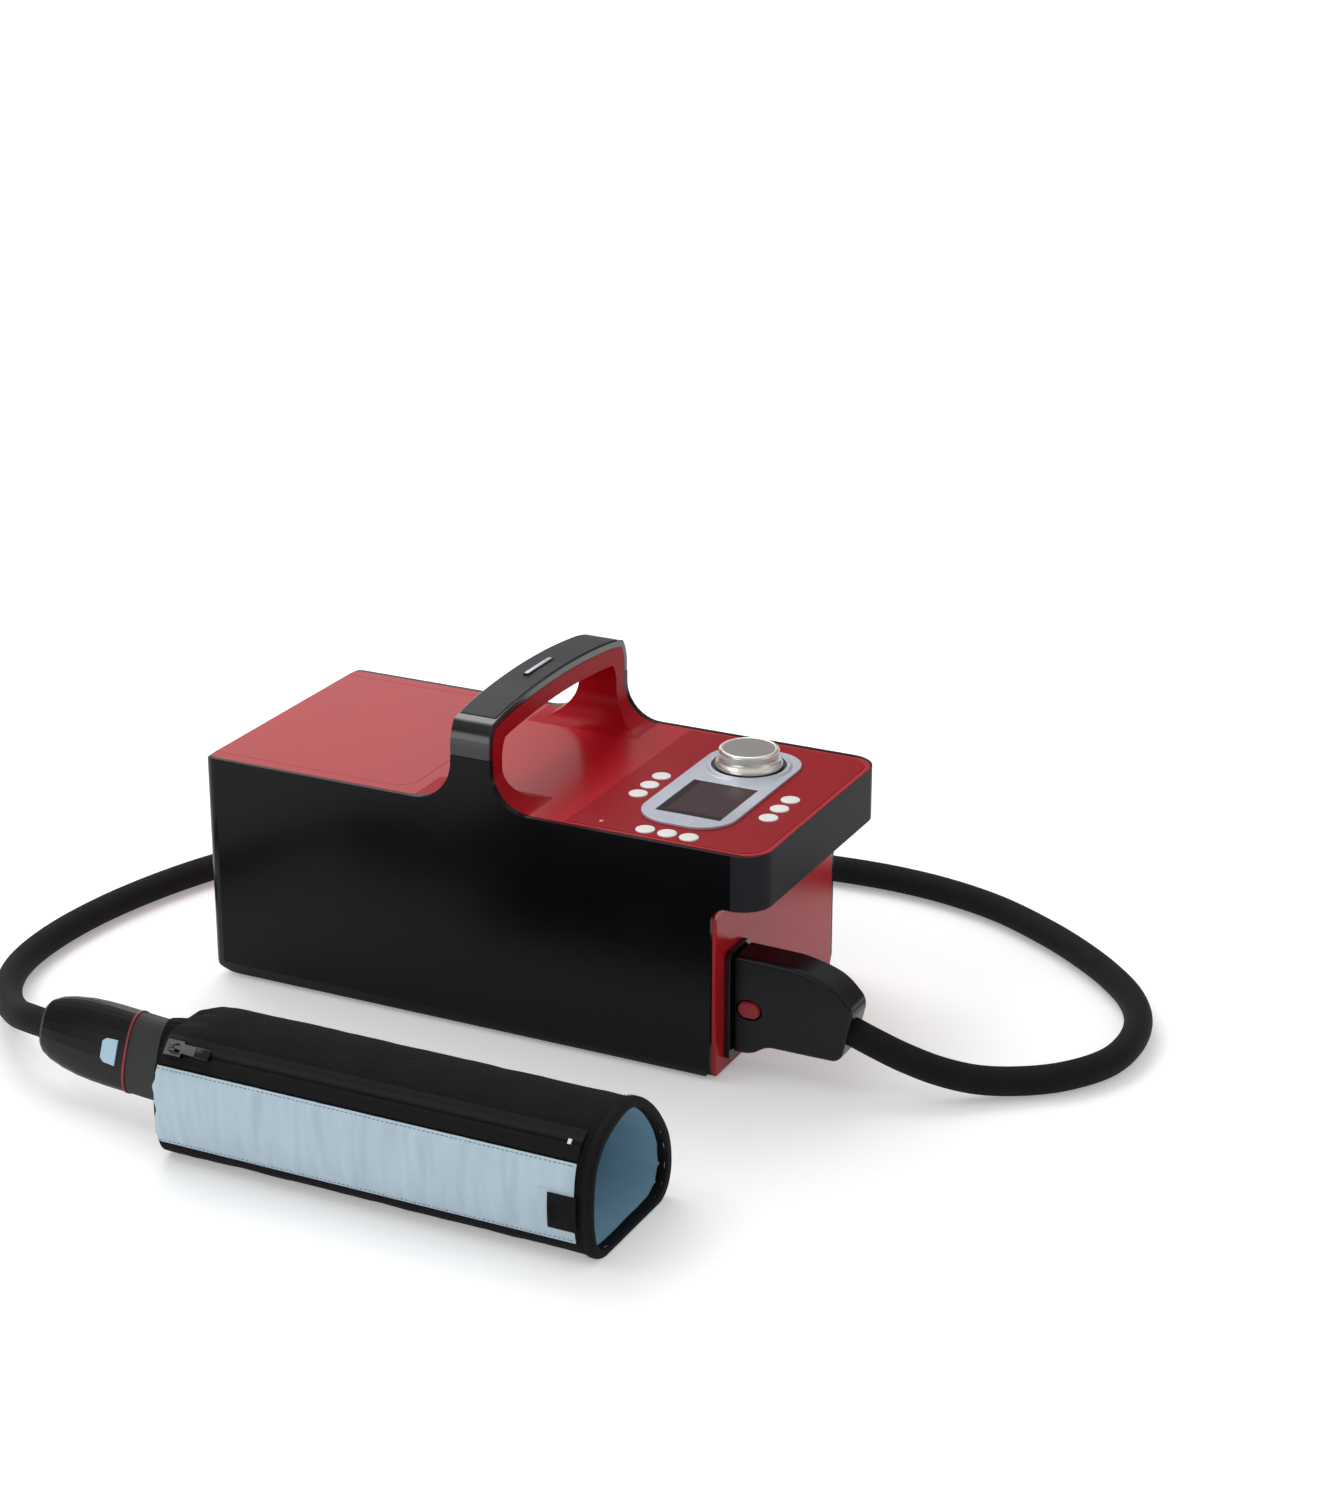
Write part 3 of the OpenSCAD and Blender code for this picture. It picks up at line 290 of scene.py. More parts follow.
gunmetal = moulded("gunmetal", (92, 92, 94), 0.36, tint=0.06, skin=0.0004, Metallic=1.0)
steel = moulded("steel", (176, 176, 174), 0.3, tint=0.06, skin=0.0004, Metallic=1.0)
tube_clear = moulded("tube_clear", (205, 214, 220), 0.25, tint=0.04)
print("moulded finishes", len(bpy.data.materials))

# %% [markdown]
# A few finishes need a pattern of their own. The boards get small pale pads on green, the display
# window is a dark smoked sheet over a paler screen, and the knob is turned on a lathe, so its fine
# grooves run in rings round its own middle.

# %% Boards, display window and turned metal
KNOB_AT = (134, 43, 164.1)
SCREEN_EDGE_X, SCREEN_EDGE_Y = (0.1165, 0.1180), (-0.0480, -0.0465)


def board_finish():
    mat, bsdf = new_material("board_green", 0.4)
    place = object_place(mat)
    cells = node_of(mat, "ShaderNodeTexVoronoi", Scale=160, distance="MANHATTAN")
    wire(mat, place, cells.inputs["Vector"])
    pads = ranged(mat, cells.outputs["Distance"], 1, 0, (0.1, 0.16))
    green = blended(mat, noise_at(mat, 0.02), linear(20, 74, 44), linear(30, 96, 58))
    wire(mat, blended(mat, pads, green, linear(150, 142, 96)), bsdf.inputs["Base Color"])
    bumped(mat, bsdf, pads, 0.00005)
    return mat


def window_finish():
    mat, bsdf = new_material("smoked_window", 0.2, Specular_IOR_Level=0.12)
    split = node_of(mat, "ShaderNodeSeparateXYZ")
    wire(mat, object_place(mat), split.inputs[0])
    across = ranged(mat, split.outputs["X"], 1, 0, SCREEN_EDGE_X)
    along = ranged(mat, split.outputs["Y"], 1, 0, SCREEN_EDGE_Y)
    edge = combined(mat, "MAXIMUM", across, along)
    screen = blended(mat, noise_at(mat, 0.03), linear(74, 52, 56), linear(60, 44, 48))
    wire(mat, blended(mat, edge, screen, linear(38, 30, 36)), bsdf.inputs["Base Color"])
    return mat


def turned_finish(name, colour, pitch, depth, rough, metallic):
    mat, bsdf = new_material(name, rough, Metallic=metallic)
    centred = node_of(mat, "ShaderNodeMapping")
    centred.inputs["Location"].default_value = Vector((-KNOB_AT[0], -KNOB_AT[1], 0)) * MM
    wire(mat, object_place(mat), centred.inputs["Vector"])
    rings = node_of(mat, "ShaderNodeTexWave", wave_type="RINGS", rings_direction="Z",
                    Scale=1 / pitch, Distortion=0.4)
    wire(mat, centred.outputs[0], rings.inputs["Vector"])
    base = linear(*colour)
    worn = blended(mat, noise_at(mat, 0.01), toned(base, 0.88), base)
    wire(mat, worn, bsdf.inputs["Base Color"])
    bumped(mat, bsdf, rings.outputs["Fac"], depth)
    return mat


board_green = board_finish()
smoked_window = window_finish()
knob_metal = turned_finish("knob_metal", (226, 226, 218), 0.0035, 0.00002, 0.3, 0.85)
cap_metal = turned_finish("cap_metal", (134, 130, 124), 0.0012, 0.00003, 0.6, 0.3)
print("with their own pattern", board_green.name, smoked_window.name, knob_metal.name)

# %% [markdown]
# Cloth is told apart by its weave. These finishes read the piece's own UV map, whose two
# directions run round and along the cloth in metres, so the threads follow every fold. A plain
# weave is two crossed waves and a braid is the same with both waves slanted; the gaps between
# their threads are darkened as painted shade. A looped pile is a tight cell pattern with a soft
# sheen, and the tips of its loops are painted lighter in patches as a painted highlight.

# %% Cloth finishes
def uv_wave(mat, across, along):
    place = node_of(mat, "ShaderNodeUVMap", uv_map="UVMap").outputs["UV"]
    dot = node_of(mat, "ShaderNodeVectorMath", operation="DOT_PRODUCT")
    dot.inputs[1].default_value = (2 * math.pi * across, 2 * math.pi * along, 0)
    wire(mat, place, dot.inputs[0])
    wave = node_of(mat, "ShaderNodeMath", operation="SINE")
    wire(mat, dot.outputs["Value"], wave.inputs[0])
    return wave.outputs[0]


def crossed(mat, first, second):
    return combined(mat, "MULTIPLY", uv_wave(mat, *first), uv_wave(mat, *second))


def threads_over(mat, bsdf, threads, span, painted_gap_shade, aged, depth):
    # Between the threads the colour darkens to the gap colour: painted shade in the hollows of the
    # weave.
    colour = blended(mat, ranged(mat, threads, 0, 1, span), painted_gap_shade, aged)
    wire(mat, colour, bsdf.inputs["Base Color"])
    bumped(mat, bsdf, threads, depth)
    return mat


def woven(name, colour, pitch, depth, rough, shade, **sockets):
    mat, bsdf = new_material(name, rough, **sockets)
    threads = crossed(mat, (1 / pitch, 0), (0, 1 / pitch))
    base = linear(*colour)
    aged = blended(mat, ranged(mat, noise_at(mat, 0.03), 0, 1), base, toned(base, 1.12, 0.002))
    return threads_over(mat, bsdf, threads, (-0.8, 0.4), toned(base, 1 - shade), aged, depth)


def braided(name, colour, pitch_u, pitch_v, depth):
    mat, bsdf = new_material(name, 0.7, Specular_IOR_Level=0.15)
    threads = crossed(mat, (1 / pitch_u, 1 / pitch_v), (1 / pitch_u, -1 / pitch_v))
    base = linear(*colour)
    aged = blended(mat, ranged(mat, noise_at(mat, 0.012), 0, 1), base, toned(base, 1.6))
    return threads_over(mat, bsdf, threads, (-0.7, 0.5), toned(base, 0.35), aged, depth)


def looped(name, colour, size, depth, **sockets):
    mat, bsdf = new_material(name, 0.9, **sockets)
    place = object_place(mat)
    loops = node_of(mat, "ShaderNodeTexVoronoi", Scale=1 / size)
    wire(mat, place, loops.inputs["Vector"])
    base = linear(*colour)
    patch = ranged(mat, noise_at(mat, 0.018), 0, 0.6)
    # The tips of the loops are painted lighter in patches: a painted highlight where each loop
    # catches the light.
    tips = ranged(mat, loops.outputs["Distance"], 1, 0, (0.1, 0.6))
    painted_tip_highlight = combined(mat, "MULTIPLY", tips, patch)
    wire(mat, blended(mat, painted_tip_highlight, base, toned(base, 2.1, 0.004)), bsdf.inputs["Base Color"])
    bumped(mat, bsdf, loops.outputs["Distance"], depth)
    return mat


loop_black = looped("loop_black", (9, 9, 11), 0.0012, 0.0005, Sheen_Weight=0.03,
                    Specular_IOR_Level=0.15)
nylon_blue = woven("nylon_blue", (186, 208, 221), 0.0011, 0.00008, 0.6, 0.1, Sheen_Weight=0.1)
# The lining is a darker copy of the panel's blue: the darkening is painted shade inside the
# sleeve.
shaded_lining_blue = woven("shaded_lining_blue", (142, 184, 206), 0.0012, 0.00006, 0.55, 0.12)
tape_black = woven("tape_black", (10, 10, 12), 0.0014, 0.0002, 0.8, 0.4, Specular_IOR_Level=0.2)
nylon_black = woven("nylon_black", (9, 9, 11), 0.0012, 0.0001, 0.6, 0.3,
                    Specular_IOR_Level=0.15)
hose_braid = braided("hose_braid", (20, 20, 21), 0.0022, 0.0028, 0.0002)
thread_grey = moulded("thread_grey", (96, 98, 100), 0.8, skin=0.0005)
print("finishes", len(bpy.data.materials))

# %% [markdown]
# The photograph is a plain catalogue picture: a white floor that runs into a white backdrop. The
# floor looks white to the camera, to glossy and to transmission rays through Light Path, more so
# away from the object, so no extra light has to fall on the object. The backdrop does the same,
# and a glossy ray sees it darker near the floor, which gives the black sides their depth.

# %% Floor and backdrop
FLOOR_GLOW, GLOW_REACH = (0.27, 0.75), (0.3, 1.6)
MIRRORED, MIRRORED_HEIGHT = (0.2, 0.8), (0.25, 0.85)
FILL_LIGHT = 0.55

floor = added("studio_floor", bpy.ops.mesh.primitive_plane_add, size=30,
              location=(0, 0, -0.0004))
floor_white, floor_bsdf = new_material("floor_white", 0.9, Specular_IOR_Level=0.1,
                                       Base_Color=(0.86, 0.86, 0.86, 1),
                                       Emission_Color=(1, 1, 1, 1))
dress(floor, floor_white)
seen = node_of(floor_white, "ShaderNodeLightPath")
rays = seen.outputs["Is Camera Ray"]
for kind in ("Is Glossy Ray", "Is Transmission Ray"):
    rays = combined(floor_white, "MAXIMUM", rays, seen.outputs[kind])
far_off = node_of(floor_white, "ShaderNodeVectorMath", operation="LENGTH")
wire(floor_white, object_place(floor_white), far_off.inputs[0])
glow = ranged(floor_white, far_off.outputs["Value"], *FLOOR_GLOW, GLOW_REACH)
wire(floor_white, combined(floor_white, "MULTIPLY", glow, rays),
     floor_bsdf.inputs["Emission Strength"])

world = bpy.data.worlds.new("studio")
bpy.context.scene.world = world
world.use_nodes = True
backdrop = world.node_tree.nodes["Background"]
backdrop.inputs["Color"].default_value = (1, 1, 1, 1)
path = node_of(world, "ShaderNodeLightPath")
height = node_of(world, "ShaderNodeSeparateXYZ")
wire(world, node_of(world, "ShaderNodeTexCoord").outputs["Generated"], height.inputs[0])
mirrored = ranged(world, height.outputs["Z"], *MIRRORED, MIRRORED_HEIGHT)
unseen = ranged(world, path.outputs["Is Glossy Ray"], FILL_LIGHT, mirrored, (0, 1))
level = ranged(world, path.outputs["Is Camera Ray"], unseen, 1.0, (0, 1))
wire(world, level, backdrop.inputs["Strength"])
bpy.context.scene.view_settings.view_transform = "Standard"
print("backdrop", world.name, "floor", floor.name)

# %% [markdown]
# The light is one broad soft box above and behind, a card far behind that whitens the lid, and
# weaker ones at the plug's end, on the camera's side and along the handle. A large lamp gives the
# soft edges that the photograph's shadows and highlights have.

# %% Lamps
def soft_lamp(name, at, aim, size, watts):
    lamp = added(name, bpy.ops.object.light_add, type="AREA", location=at)
    lamp.data.shape = "RECTANGLE"
    lamp.data.size, lamp.data.size_y = size
    lamp.data.energy = watts
    lamp.rotation_euler = aimed(at, aim)


soft_lamp("overhead_softbox", (-0.9, 0.9, 1.9), (0, 0, 0.1), (1.8, 1.4), 25)
soft_lamp("lid_card", (-2.1, 2.4, 1.1), (-0.1, 0, 0.1), (1.5, 1.3), 5.5)
soft_lamp("end_softbox", (1.9, 0.1, 0.9), (0.1, 0, 0.1), (0.9, 0.9), 2)
soft_lamp("front_card", (-0.7, -2.3, 0.5), (0, -0.2, 0.15), (1.7, 0.65), 9)
soft_lamp("handle_strip", (-0.95, -0.85, 1.8), (0, -0.1, 0.2), (0.9, 0.4), 5)

# %% [markdown]
# The hose is one free length, about 1.45 m from plug to plug, and the photograph shows both ends
# of it. It leaves the unit's plug sloping down, lies on the floor in one wide loose loop round the
# back of the unit, and rises into the wrap's plug. Its line is a smooth curve through the listed
# points, the same ones that the CAD tube follows.

# %% The hose's line
HOSE_D = 0.019
HOSE_ROUTE = [
    (254, -63, 41), (272, -63, 35), (292, -61, 28), (314, -54, 20), (336, -41, 13), (360, -24, 10),
    (382, -5, 10), (399, 24, 10), (403, 58, 10), (397, 92, 10), (382, 122, 10), (360, 148, 10),
    (332, 173, 10), (297, 198, 10), (251, 223, 10), (205, 237, 10), (160, 242, 10), (115, 240, 10),
    (60, 233, 10), (0, 222, 10), (-60, 207, 10), (-120, 187, 10), (-175, 162, 10), (-222, 131, 10),
    (-262, 95, 10), (-290, 56, 10), (-309, 10, 10), (-322, -40, 10), (-328, -85, 10),
    (-328, -125, 10), (-321, -162, 11), (-305, -196, 14), (-282, -227, 19), (-256, -252, 26),
    (-232, -269, 34), (-205, -278.8, 38),
]


def smooth_step(a, b, c, d, t):
    return 0.5 * ((2 * b) + (c - a) * t + (2 * a - 5 * b + 4 * c - d) * t * t
                  + (3 * b - a - 3 * c + d) * t ** 3)


def smooth_line(points, per_span):
    points = [Vector(p) * MM for p in points]
    last = len(points) - 1
    line = []
    for i in range(last):
        a, b, c, d = (points[max(0, min(last, i + k))] for k in (-1, 0, 1, 2))
        line += [smooth_step(a, b, c, d, k / per_span) for k in range(per_span)]
    return line + [points[last]]


def even_line(line, step):
    out, carried = [line[0]], 0.0
    for a, b in zip(line, line[1:]):
        span = (b - a).length
        while carried + span >= step:
            a = a.lerp(b, (step - carried) / span)
            out.append(a)
            span, carried = (b - a).length, 0.0
        carried += span
    return out + [line[-1]]


hose_line = even_line(smooth_line(HOSE_ROUTE, 12), 0.0035)

# %% [markdown]
# The line is swept as a mesh: a ring of points stands square to the line at each step, and the
# rings are joined by faces. Made so, its UV map can run round and along the tube in metres, which
# is what a braided sleeve needs.

# %% Hose
def tube(name, line, radius, sides, finish):
    turns = [2 * math.pi * k / sides for k in range(sides)]
    points = []
    for i, p in enumerate(line):
        ahead = (line[min(i + 1, len(line) - 1)] - line[max(i - 1, 0)]).normalized()
        side = ahead.cross(Vector((0, 0, 1))).normalized()
        up = side.cross(ahead)
        points += [p + radius * (math.cos(a) * side + math.sin(a) * up) for a in turns]
    faces = [(i * sides + k, i * sides + (k + 1) % sides, (i + 1) * sides + (k + 1) % sides,
              (i + 1) * sides + k) for i in range(len(line) - 1) for k in range(sides)]
    faces += [tuple(reversed(range(sides))), tuple(range(len(points) - sides, len(points)))]
    piece = mesh_piece(name, points, faces)
    along = [0.0]
    for a, b in zip(line, line[1:]):
        along.append(along[-1] + (b - a).length)
    layer = piece.data.uv_layers.new(name="UVMap")
    for face in piece.data.polygons:
        if len(face.vertices) > 4:
            continue
        places = [v % sides for v in face.vertices]
        wraps = max(places) == sides - 1 and min(places) == 0
        for loop in face.loop_indices:
            v = piece.data.loops[loop].vertex_index
            k = v % sides + (sides if wraps and v % sides == 0 else 0)
            layer.data[loop].uv = (k / sides * 2 * math.pi * radius, along[v // sides])
    dress(piece, finish)
    facing_out(piece)
    smooth(piece, 50)
    return piece


hose = tube("sleeved_hose", hose_line, HOSE_D / 2, 28, hose_braid)
seat(hose, "hose")
print("hose faces", len(hose.data.polygons))

# %% [markdown]
# A few copies of the CAD shapes are corrected before their edges are softened. A copy is loose
# triangles at first, so its doubled vertices are merged and its flat faces joined. The lower
# corner at the lid end gets its full radius, the handle's crown is lowered a little from the arc
# that was made to the arc that is seen, and the deck's lip is drawn back to the visor's round
# corner, whose rim is raised to meet it. Each arc below is its middle's height and its radius.

# %% Corrections of a few copies
LIP_CORNER, LIP_R = Vector((0.1865, 0.0761)), 0.0194
LIP_BOTTOM, RIM_BAND, DECK_Z = 0.1598, (0.1595, 0.1605), 0.161
ARC_MADE, ARC_SEEN = (-0.150, 0.380), (-0.373, 0.600)
CROWN_FROM, CROWN_EASE = 0.195, 0.015
END_R, END_AXIS = 0.018, (-0.1885, 0, 0.0204)


def tidy(piece):
    edit_all(piece)
    bpy.ops.mesh.remove_doubles(threshold=0.000015)
    bpy.ops.mesh.dissolve_limited(angle_limit=math.radians(0.6))
    bpy.ops.object.mode_set(mode="OBJECT")


def past_lip(place):
    return Vector((max(0, place.x - LIP_CORNER.x), max(0, abs(place.y) - LIP_CORNER.y)))


def trim_lip(piece):
    for v in piece.data.vertices:
        off = past_lip(v.co)
        if v.co.z > LIP_BOTTOM and off.length > LIP_R and off.x > 0:
            off *= LIP_R / off.length
            v.co.x = LIP_CORNER.x + off.x
            if off.y > 0:
                v.co.y = math.copysign(LIP_CORNER.y + off.y, v.co.y)


def raise_rim(piece):
    for v in piece.data.vertices:
        if RIM_BAND[0] < v.co.z < RIM_BAND[1] and past_lip(v.co).length > LIP_R:
            v.co.z = DECK_Z


def lower_crown(piece):
    for v in piece.data.vertices:
        made, seen_z = (z + math.sqrt(r ** 2 - v.co.y ** 2) for z, r in (ARC_MADE, ARC_SEEN))
        v.co.z += min(0, seen_z - made) * max(0, min(1, (v.co.z - CROWN_FROM) / CROWN_EASE))


def round_end(piece):
    modify(piece, "BOOLEAN", object=end_cutter, operation="DIFFERENCE", solver="EXACT")


def round_and_trim(piece):
    trim_lip(piece)
    tidy(piece)
    round_end(piece)


end_cutter = block("end_cutter", (-0.1985, 0, 0.0104), (0.020, 0.230, 0.020))
drum = added("end_drum", bpy.ops.mesh.primitive_cylinder_add, vertices=96, radius=END_R,
             depth=0.3, rotation=(math.pi / 2, 0, 0))
drum.location = END_AXIS
settle(drum)
modify(end_cutter, "BOOLEAN", object=drum, operation="DIFFERENCE", solver="EXACT")
bpy.data.objects.remove(drum)
print("corner cutter faces", len(end_cutter.data.polygons))

# %% [markdown]
# The unit's rigid parts are injection moulded, and no moulding has a razor edge: each corner has a
# small radius that catches a thin line of light. Each CAD shape is copied and tidied, and a Bevel
# modifier rounds the edges that are sharper than a given angle. A Weighted Normal modifier then
# shades each flat by its largest face, so the flats stay calm beside their rounded edges.

# %% Mouldings with soft edges
EDGE_ANGLE, CREASE = math.radians(34), 38


def calm_flats(piece):
    modify(piece, "WEIGHTED_NORMAL", mode="FACE_AREA", weight=60, keep_sharp=True)


def soften(node, width, finish, segments=2, reshape=None):
    piece = bpy.data.objects.new(node + "_moulding", frame["nodes"][node].data.copy())
    bpy.context.collection.objects.link(piece)
    tidy(piece)
    if reshape:
        reshape(piece)
    modify(piece, "BEVEL", width=width, segments=segments, limit_method="ANGLE",
           angle_limit=EDGE_ANGLE, use_clamp_overlap=True)
    smooth(piece, CREASE)
    calm_flats(piece)
    dress(piece, finish)
    seat(piece, node)


for node, width, finish, reshape in (
    ("side_shell_front", 0.0009, black_side, round_end),
    ("side_shell_back", 0.0009, black_side, round_end),
    ("base_pan", 0.0006, dark_rubber, round_end),
    ("inner_body", 0.0005, red_gloss, round_and_trim),
    ("front_visor", 0.0007, lit_visor_black, raise_rim),
    ("handle_liner", 0.0016, red_liner, lower_crown),
    ("handle_cover", 0.0022, black_gloss, lower_crown),
    ("handle_grip", 0.0004, grip_rubber, lower_crown),
    ("control_overlay", 0.0002, film_red, None),
    ("display_bezel", 0.0006, bezel_paint, None),
    ("reservoir_lid", 0.0006, red_gloss, None),
    ("rubber_foot", 0.0006, dark_rubber, None),
    ("hose_socket", 0.0008, black_gloss, None),
    ("power_jack", 0.0005, dark_rubber, None),
):
    soften(node, width, finish, reshape=reshape)
bpy.data.objects.remove(end_cutter)

# %% [markdown]
# The works inside show only when the lid or a panel is off, so their CAD shapes stay as they are
# and only take their real finishes. So do the wrap's plug and both release buttons, whose CAD
# shapes are already round.

# %% Finishes of the works and small hardware
CAD_FINISHES = {
    "panel_board": board_green, "main_board": board_green, "encoder_shaft": steel,
    "lid_hinge_pin": steel, "case_screws": steel, "plug_nipples": steel,
    "air_compressor": steel, "water_pump": dark_rubber, "valve_block": valve_plastic,
    "inner_tubes": tube_clear, "reservoir_tub": tub_plastic, "insulation_foam": foam_skin,
    "lid_seal": dark_rubber, "wrap_plug_top": plug_black, "wrap_plug_bottom": plug_black,
    "wrap_plug_ring": ring_red, "wrap_port": dark_rubber, "wrap_plug_button": key_blue,
    "plug_button": plug_red,
}
for node, finish in CAD_FINISHES.items():
    dress(frame["nodes"][node], finish)
print("dressed CAD nodes", len(CAD_FINISHES))

# %% [markdown]
# The wrap is a padded cloth sleeve, rolled flat-bottomed on the floor. Its section is one smooth
# closed curve through a few measured corners, and near the hose it gathers down to the flat neck
# that holds the port, a leaning flat oval with full corners. The shares below say how far each
# ring has gathered: the hood over the top slopes, while the front stays open until just before the
# neck. A place on the wrap is given by x along it and s round it, which counts the corners, and
# FRONT_PART says which of them are the front. The padding thins towards the open rim.

# %% Wrap: its section and its gathered end
WRAP_OUT = [(-320, 0), (-336, 6), (-342, 24), (-342, 46), (-338, 64), (-326, 77.5), (-306, 84.5),
            (-287, 84.5), (-268, 74), (-251, 56), (-240, 36), (-239, 14), (-251, 1), (-284, 0)]
WRAP_IN = [(-318, 6), (-331, 10), (-337, 25), (-337, 45), (-333, 60), (-323, 70.5), (-305, 78),
           (-289, 78), (-272, 69), (-257, 53), (-249, 37), (-249, 18), (-260, 8), (-285, 6)]
CORNERS = len(WRAP_OUT)
NECK_X, OPEN_X, WRAP_END, GIRTH = -112, -58, 213, 0.3155
HOOD_SHARE = [(NECK_X, 1), (-100, 0.9), (-92, 0.62), (-87, 0.42), (-75, 0.15), (-66, 0.04),
              (OPEN_X, 0)]
FRONT_SHARE = [(NECK_X, 1), (-100, 1), (-92, 0.92), (-87, 0)]
FRONT_PART = [(0, 1), (5, 1), (6, 0), (11.5, 0), (13, 1), (14, 1)]
NECK_C, NECK_HALF, NECK_WALL, NECK_LEAN = (-289.2, 38), (26.1, 11.2), 2.2, math.radians(19)
NECK_POWER = 2.6
THIN_FROM, THIN_SHARE = 175, 0.42


def table(pairs, value):
    if value <= pairs[0][0]:
        return pairs[0][1]
    for (a, low), (b, high) in zip(pairs, pairs[1:]):
        if value <= b:
            return low + (high - low) * (value - a) / (b - a)
    return pairs[-1][1]


def section(points, s):
    i, t = int(math.floor(s)), s - math.floor(s)
    a, b, c, d = (Vector(points[(i + k) % CORNERS]) for k in (-1, 0, 1, 2))
    return smooth_step(a, b, c, d, t)


def outward(s):
    ahead = section(WRAP_OUT, s + 0.1) - section(WRAP_OUT, s - 0.1)
    return Vector((-ahead.y, ahead.x)).normalized()


def neck(s, grow):
    a = math.pi - 2 * math.pi * s / CORNERS
    c, v = math.cos(a), math.sin(a)
    p = (abs(c) ** NECK_POWER + abs(v) ** NECK_POWER) ** (-1 / NECK_POWER)
    w, h = (NECK_HALF[0] + grow) * c * p, (NECK_HALF[1] + grow) * v * p
    sin, cos = math.sin(NECK_LEAN), math.cos(NECK_LEAN)
    return Vector((NECK_C[0] + w * sin - h * cos, NECK_C[1] + w * cos + h * sin))


def gathered(x, s):
    front = table(FRONT_PART, s % CORNERS)
    return front * table(FRONT_SHARE, x) + (1 - front) * table(HOOD_SHARE, x)


def on_wrap(x, s, lift=0.0):
    m = gathered(x, s)
    q = section(WRAP_OUT, s).lerp(neck(s, NECK_WALL), m) + lift * outward(s)
    return Vector((x, q.x, max(0.15, q.y))) * MM


def thinned(x, s):
    near = max(0, min(1, (x - THIN_FROM) / (WRAP_END - THIN_FROM)))
    return section(WRAP_IN, s).lerp(section(WRAP_OUT, s), THIN_SHARE * near)


def in_wrap(x, s, lift=0.0):
    m = gathered(x, s)
    q = thinned(x, s).lerp(neck(s, 0), m) - lift * outward(s)
    return Vector((x, q.x, q.y)) * MM


print("neck to open end", WRAP_END - NECK_X, "mm")

# %% [markdown]
# Cloth is a grid of points with a UV map in metres: one direction runs round the section, the
# other along the wrap. A closed sleeve joins its outer and inner grids at both ends, while a flat
# band gets its thickness from a Solidify modifier.

# %% Cloth grids
def spread(first, last, step):
    count = max(1, round((last - first) / step))
    return [first + (last - first) * i / count for i in range(count + 1)]


def cloth_uvs(along_x, around_s):
    return [[(s / CORNERS * GIRTH, x * MM) for s in around_s] for x in along_x]


def grid_piece(name, rows, uvs, finish, close_rows=False, close_around=False):
    count = len(rows[0])
    faces, corners = [], []
    for i in range(len(rows) - (0 if close_rows else 1)):
        j = (i + 1) % len(rows)
        for k in range(count - (0 if close_around else 1)):
            n = (k + 1) % count
            faces.append((i * count + k, i * count + n, j * count + n, j * count + k))
            turn = GIRTH if n == 0 else 0
            for row, place, shift in ((i, k, 0), (i, n, turn), (j, n, turn), (j, k, 0)):
                corners.append((uvs[row][place][0] + shift, uvs[row][place][1]))
    piece = mesh_piece(name, [p for row in rows for p in row], faces)
    layer = piece.data.uv_layers.new(name="UVMap")
    for loop, uv in zip(layer.data, corners):
        loop.uv = uv
    dress(piece, finish)
    facing_out(piece)
    return piece


def sew(piece, node, thickness, degrees=60):
    modify(piece, "SOLIDIFY", thickness=thickness, offset=0)
    smooth(piece, degrees)
    seat(piece, node)


# %% [markdown]
# Small slow waves keep the sleeve from looking like sheet metal, and pleats show where it gathers
# to the neck. They are built from noise, so they are the same on every run, and they fade out at
# the rim and at the neck, where the cloth is held.

# %% The sleeve
AROUND = 168
PLEAT, SLOW_WAVE, QUICK_WAVE = 1.6, (0.55, 26), (0.25, 9)


def wave(x, s, size, seed):
    return noise.noise(Vector((x / size, s * 22 / size, seed)))


def sleeve_lift(x, s):
    fold = gathered(x, s)
    pleat = PLEAT * math.sin(2 * math.pi * s * 1.5 + 0.6) * 4 * fold * (1 - fold)
    slow, quick = SLOW_WAVE[0] * wave(x, s, SLOW_WAVE[1], 1.0), wave(x, s, QUICK_WAVE[1], 2.0)
    return (slow + QUICK_WAVE[0] * quick + pleat) * min(1, (WRAP_END - x) / 12, (x - NECK_X) / 5)


around = [k * CORNERS / AROUND for k in range(AROUND)]
along = spread(NECK_X, OPEN_X, 2) + spread(OPEN_X, WRAP_END, 3)[1:]
outer = [[on_wrap(x, s, sleeve_lift(x, s)) for s in around] for x in along]
inner = [[in_wrap(x, s) for s in around] for x in reversed(along)]
sleeve_uvs = cloth_uvs(along, around)
wrap_sleeve = grid_piece("wrap_cloth", outer + inner, sleeve_uvs + list(reversed(sleeve_uvs)),
                         loop_black, close_rows=True, close_around=True)
smooth(wrap_sleeve, 60)
seat(wrap_sleeve, "wrap_sleeve")
print("wrap cloth faces", len(wrap_sleeve.data.polygons))

# %% [markdown]
# The lining is a thin smooth cloth, puckered where it is sewn in at the rim. The pale panel on
# the front is loosely laid and quilted, so it shows soft upright wrinkles, and its edge at the
# hose end is cut a little unevenly. It lies flat at its sewn edges and under the tab. Both are
# single sheets that are given their thickness at the end.

# %% Lining and pale front panel
PANEL_S, PANEL_X, CALM_X, CALM_S = (1.5, 4.0), (-87, 203), 185, 3.1


def lining_lift(x, s):
    near_rim = max(0, 1 - (WRAP_END - x) / 60)
    pucker = math.sin(s * 9.5 + 1.3 * wave(x, s, 30, 4)) * (0.25 + 0.5 * near_rim)
    return 0.75 + 0.45 * pucker + 0.5 * wave(x, s, 34, 5)


